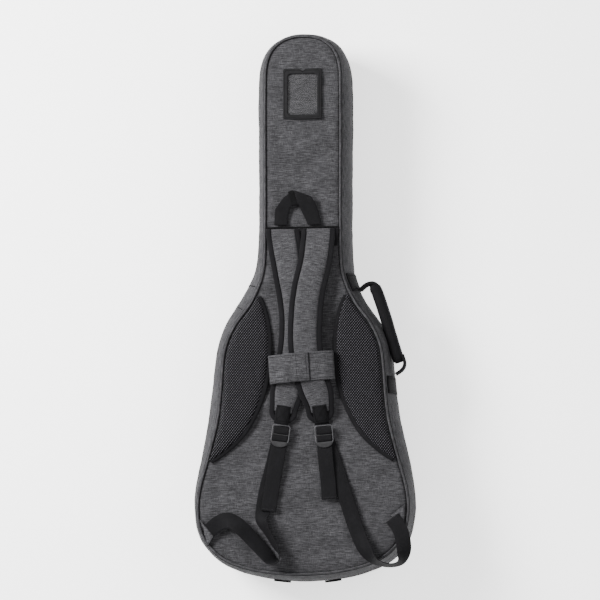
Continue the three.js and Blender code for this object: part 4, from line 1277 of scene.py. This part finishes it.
def make_seam_tape(m):
    low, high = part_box("seam_tape")
    rows = []
    for x in np.linspace(low.x, high.x, 80):
        section = []
        for a in circle(16):
            y = (low.y + high.y) / 2 + math.cos(a) * (high.y - low.y) / 2
            z = (BACK_Z + high.z) / 2 + math.sin(a) * (high.z - BACK_Z) / 2
            section.append((x, y + 0.4 * MM * wander((x, 0, 0), 60, 1), z))
        rows.append(section)
    # Dark tape over the back seam in the darkest webbing: partly dark binding, partly painted shade in the
    # gap between the panels.
    skin("seam_cover", rows, m["seam"], "back_shell", "seam_tape", slot="binding")


# Each corner tab's outline in mm: its free edge's two ends first, then its sewn corner.
CORNER_TABS = {
    "left": [(-204, -420, 164.6), (-175.5, -455.5, 167.2), (-187, -474, 163.4)],
    "right": [(203, -394, 162.6), (174, -417, 163.4), (201, -436, 162.8)],
}


def make_corner_tabs(m):
    """Folded cloth triangles that hold the lower webbings, with stitching inside a dark line round the edge,
    painted shade where the tab meets the panel.
    """
    for word, corners in CORNER_TABS.items():
        corners = np.array(corners, float)
        centre = corners.mean(axis=0)
        rows = []
        for share, lift in ((0.985, -0.6), (1.0, 0.0), (0.97, 0.8), (0.9, 1.1), (0.5, 1.3), (0.02, 1.4),
                            (0.02, -0.9), (0.9, -0.8)):
            ring = centre + (corners - centre) * share
            rows.append(resample(ring, 60, closed=True) * MM + rise(lift * MM))
        skin(f"{word}_tab_cloth", np.array(rows).transpose(1, 0, 2), m["heather_tab"], "back_shell",
             f"corner_tab_{word}", slot="heather_fabric", ring=True)
        for number, (share, look, lift) in enumerate(((0.8, "dark_thread_and_shade", 0.9), (1.02, "seam", -0.2))):
            ring = centre + (corners - centre) * share
            line = resample(np.vstack([ring, ring[:1]]), 60) * MM + rise(lift * MM)
            if number == 0:
                stitches(f"{word}_tab_stitch", line, upward(line), "back_shell", m[look], 2.8, 2.0, 0.4)
            else:
                # A dark line just outside and below the tab's edge: painted shade where the tab meets the
                # panel.
                size = np.full(len(line), 0.7 * MM)
                skin(f"{word}_tab_edge_shade", tube_rows(line, tangents(line), rise(1.0), size, size, 2.0, 8),
                                 m[look], "back_shell")


# ------------------------------------------------------------------ zips, pockets and feet

def zip_teeth(name, line, ups, body, m, pitch=3.4):
    """Coil teeth across a zip line."""
    along = steps_along(line, False)
    centres, axes = [], []
    for target in np.arange(0, along[-1], pitch * MM):
        place = between(line, along, target)
        ahead = between(line, along, target + 1 * MM)
        forward = ahead - place
        if np.linalg.norm(forward) < 1e-9:
            continue
        forward /= np.linalg.norm(forward)
        up = between(ups, along, target)
        side = np.cross(up, forward)
        axes.append((side / np.linalg.norm(side), forward, up / np.linalg.norm(up)))
        centres.append(place)
    teeth = joined_boxes(name, centres, axes, (2.3 * MM, 1.0 * MM, 0.8 * MM), m["zip_teeth"])
    return place_piece(teeth, body)


def make_main_zip(outline, m):
    """Tape halves and teeth in the recess between the shells, with the fabric hinge at the left."""
    low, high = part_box("hinge_strip")

    def on_hinge(x, y):
        return x < 0 and low.y < y < high.y

    zip_run = outline.picked(lambda x, y: not on_hinge(x, y))
    hinge_run = outline.picked(on_hinge)
    for side, body, word in ((1, "back_shell", "back"), (-1, "front_shell", "front")):
        rows = []
        for i in zip_run:
            b = outline.bulge[i]
            rows.append([outline.at(i, b + u * MM, ZIP_Z + side * z * MM) for u, z in
                         ((-8, 0.2), (-2.2, 0.2), (-1.6, 1.6), (-1.0, 3.2), (-2.2, 3.4), (-8, 3.0))])
        skin(f"{word}_tape", rows, m["zip_tape"], body, f"{word}_zip_tape", slot="zip_tape")
    line = np.array([outline.at(i, outline.bulge[i] - 1.6 * MM, ZIP_Z) for i in zip_run])
    ups = np.array([(*outline.out[i], 0.0) for i in zip_run])
    zip_teeth("main_teeth", line, ups, "front_shell", m)
    rows = []
    for i in hinge_run:
        b = outline.bulge[i]
        rows.append([outline.at(i, b + u * MM, ZIP_Z + z * MM) for u, z in
                     ((-5, -2.4), (-0.8, -2.4), (0.1, -1.2), (0.3, 0), (0.1, 0.8), (-5, 0.8))])
    skin("hinge_cloth", rows, m["heather"], "front_shell", "hinge_strip", slot="heather_fabric")


def node_outline(node, height, count=260):
    """A CAD node's outer ring at one height, resampled, with outward directions."""
    ring = crest(node, height)
    line = resample(smooth_curve(ring, 6 * len(ring), closed=True), count, closed=True)
    along = tangents(line, closed=True)
    out = np.stack([-along[:, 1], along[:, 0]], axis=1)
    centre = line.mean(axis=0)
    if np.mean(np.sum(out * (line - centre), axis=1)) < 0:
        out = -out
    return line, out


def pocket_shell(name, body, nodes, line, out, top, material, seed):
    """Flat cloth pocket: rounded bottom edge, soft walls, with a slack face."""
    count = len(line)
    centre = (line.max(axis=0) + line.min(axis=0)) / 2
    rings = []
    for inset, z in ((0.3, top / MM), (0.0, 26), (0.5, 12), (0.0, 5), (1.5, 2), (5, 0.3)):
        ring = []
        for p, o in zip(line, out):
            dent = 0.6 * wander((*p, z * MM), 22, seed) if 4 < z < 30 else 0
            ring.append((*(p - o * (inset + abs(dent)) * MM), z * MM))
        rings.append(ring)
    for share in (0.8, 0.55, 0.3, 0.02):
        ring = []
        for k in range(count):
            p = centre + (line[k] - centre) * share
            ring.append((*p, max(0.0, 0.5 * MM + 0.5 * MM * wander((*p, 0), 24, seed + 1))))
        rings.append(ring)
    return skin(name, rings, material, body, *nodes, slot="heather_fabric", fill=0.4)


def make_pockets(m):
    body = "front_shell"
    line, out = node_outline("pocket_panel", 0.0)
    top = FRONT_Z - 0.2 * MM
    pocket_shell("accessory_pocket_cloth", body, ("pocket_panel", "pocket_wall"), line, out, top,
                 m["heather"], 2.0)
    neck_line, neck_out = node_outline("neck_pocket", 0.0)
    pocket_shell("neck_pocket_cloth", body, ("neck_pocket",), neck_line, neck_out, top, m["heather"], 5.0)
    for name, node, ring, away in (("pocket_zip_tape", "pocket_zip", line, out),
                                   ("neck_pocket_zip_tape", "neck_pocket_zip", neck_line, neck_out)):
        low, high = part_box(node)
        keep = [k for k in range(len(ring)) if ring[k, 0] > 0.7 * low.x and low.y < ring[k, 1] < high.y]
        keep.sort(key=lambda k: -ring[k, 1])
        middle = (low.z + high.z) / 2
        rows = [[(*(ring[k] + away[k] * u * MM), middle + z * MM) for u, z in
                 ((0.1, -5), (0.9, -4.8), (1.3, -1.4), (1.3, 1.4), (0.9, 4.8), (0.1, 5))] for k in keep]
        skin(name, rows, m["zip_tape"], body, node, slot="zip_tape")
        path = np.array([(*(ring[k] + away[k] * 1.2 * MM), middle) for k in keep])
        zip_teeth(f"{name}_teeth", path, np.array([(*away[k], 0.0) for k in keep]), body, m, 2.8)


def make_feet(outline, m):
    """Ridged rubber feet on the bottom of the front wall."""
    for word in ("left", "right"):
        low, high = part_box(f"foot_{word}")
        kept = outline.picked(lambda x, y: y < 0 and low.x < x < high.x)
        share_low, share_high = (ZIP_Z - high.z) / WALL_HEIGHT, (ZIP_Z - low.z) / WALL_HEIGHT
        shares = np.linspace(share_low, share_high, 36)
        rows = []
        for i in kept:
            outer = []
            for k, s in enumerate(shares):
                ridge = 0.8 * MM * (k % 4 < 2)
                edge = 1.6 * MM if k in (0, len(shares) - 1) else 0
                outer.append(outline.on_wall(i, s, 2.4 * MM + ridge - edge, side=-1))
            inner = [outline.on_wall(i, s, 0, side=-1) for s in shares[::-5]]
            rows.append(outer + inner)
        skin(f"foot_{word}_rubber", rows, m["rubber"], "front_shell", f"foot_{word}", slot="rubber")


def slider_piece(node, m, pull):
    """Zip slider or pull: a rounded tapered body in the CAD piece's box."""
    low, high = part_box(node)
    low, high = np.array(low), np.array(high)
    middle, half = (low + high) / 2, (high - low) / 2
    long_axis = int(np.argmax(half))
    thin_axis = int(np.argmin(half))
    wide_axis = 3 - long_axis - thin_axis
    rows = []
    for t in np.linspace(-1, 1, 24):
        if pull:
            narrow = (0.62 + 0.38 * abs(t)) * min(1, (1 - abs(t)) * 6 + 0.35)
        else:
            narrow = (0.72 + 0.28 * math.cos(t * 2.2)) * min(1, (1 - abs(t)) * 5 + 0.5)
        section = []
        for a in circle(16):
            c, s = math.cos(a), math.sin(a)
            p = middle.copy()
            p[long_axis] += t * half[long_axis]
            p[wide_axis] += rounded(c, 0.5) * half[wide_axis] * narrow
            p[thin_axis] += rounded(s, 0.5) * half[thin_axis] * (1 if pull else 0.8 + 0.2 * math.cos(t * 3))
            section.append(p)
        rows.append(section)
    return skin(f"{node}_body", rows, m["zip_metal"], node, node, slot="zip_metal")


def make_sliders(m):
    for word in ("upper", "lower"):
        slider_piece(f"main_slider_{word}", m, False)
        slider_piece(f"main_pull_{word}", m, True)
    for word in ("pocket", "neck_pocket"):
        slider_piece(f"{word}_slider", m, False)
        slider_piece(f"{word}_pull", m, True)


# ------------------------------------------------------------------ carried-over CAD pieces

def dress_cad(m):
    """Materials of the CAD pieces that stay as they are, with softened edges."""
    looks = {"front_lining": "plush", "back_lining": "plush", "neck_cradle": "foam", "neck_strap": "webbing"}
    for node, look in looks.items():
        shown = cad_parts[node]
        shown.data.materials.clear()
        shown.data.materials.append(m[look])
        bevel = shown.modifiers.new("soft edges", "BEVEL")
        bevel.width = 0.5 * MM
        bevel.segments = 2
        bevel.angle_limit = math.radians(40)


# ------------------------------------------------------------------ the whole scene

make_stage()
materials = make_materials()
case = Outline()
make_shells(case, materials)
make_pads(case, materials)
make_straps(materials)
make_wrap(materials)
make_webbings(materials)
make_buckle("left", (-43, -258), math.radians(-8), materials)
make_buckle("right", (44, -259.5), math.radians(5), materials)
make_haul_loop(materials)
make_side_handle(materials)
make_handle_patches(case, materials)
make_tag_pocket(materials)
make_seam_tape(materials)
make_corner_tabs(materials)
make_main_zip(case, materials)
make_pockets(materials)
make_feet(case, materials)
make_sliders(materials)
dress_cad(materials)
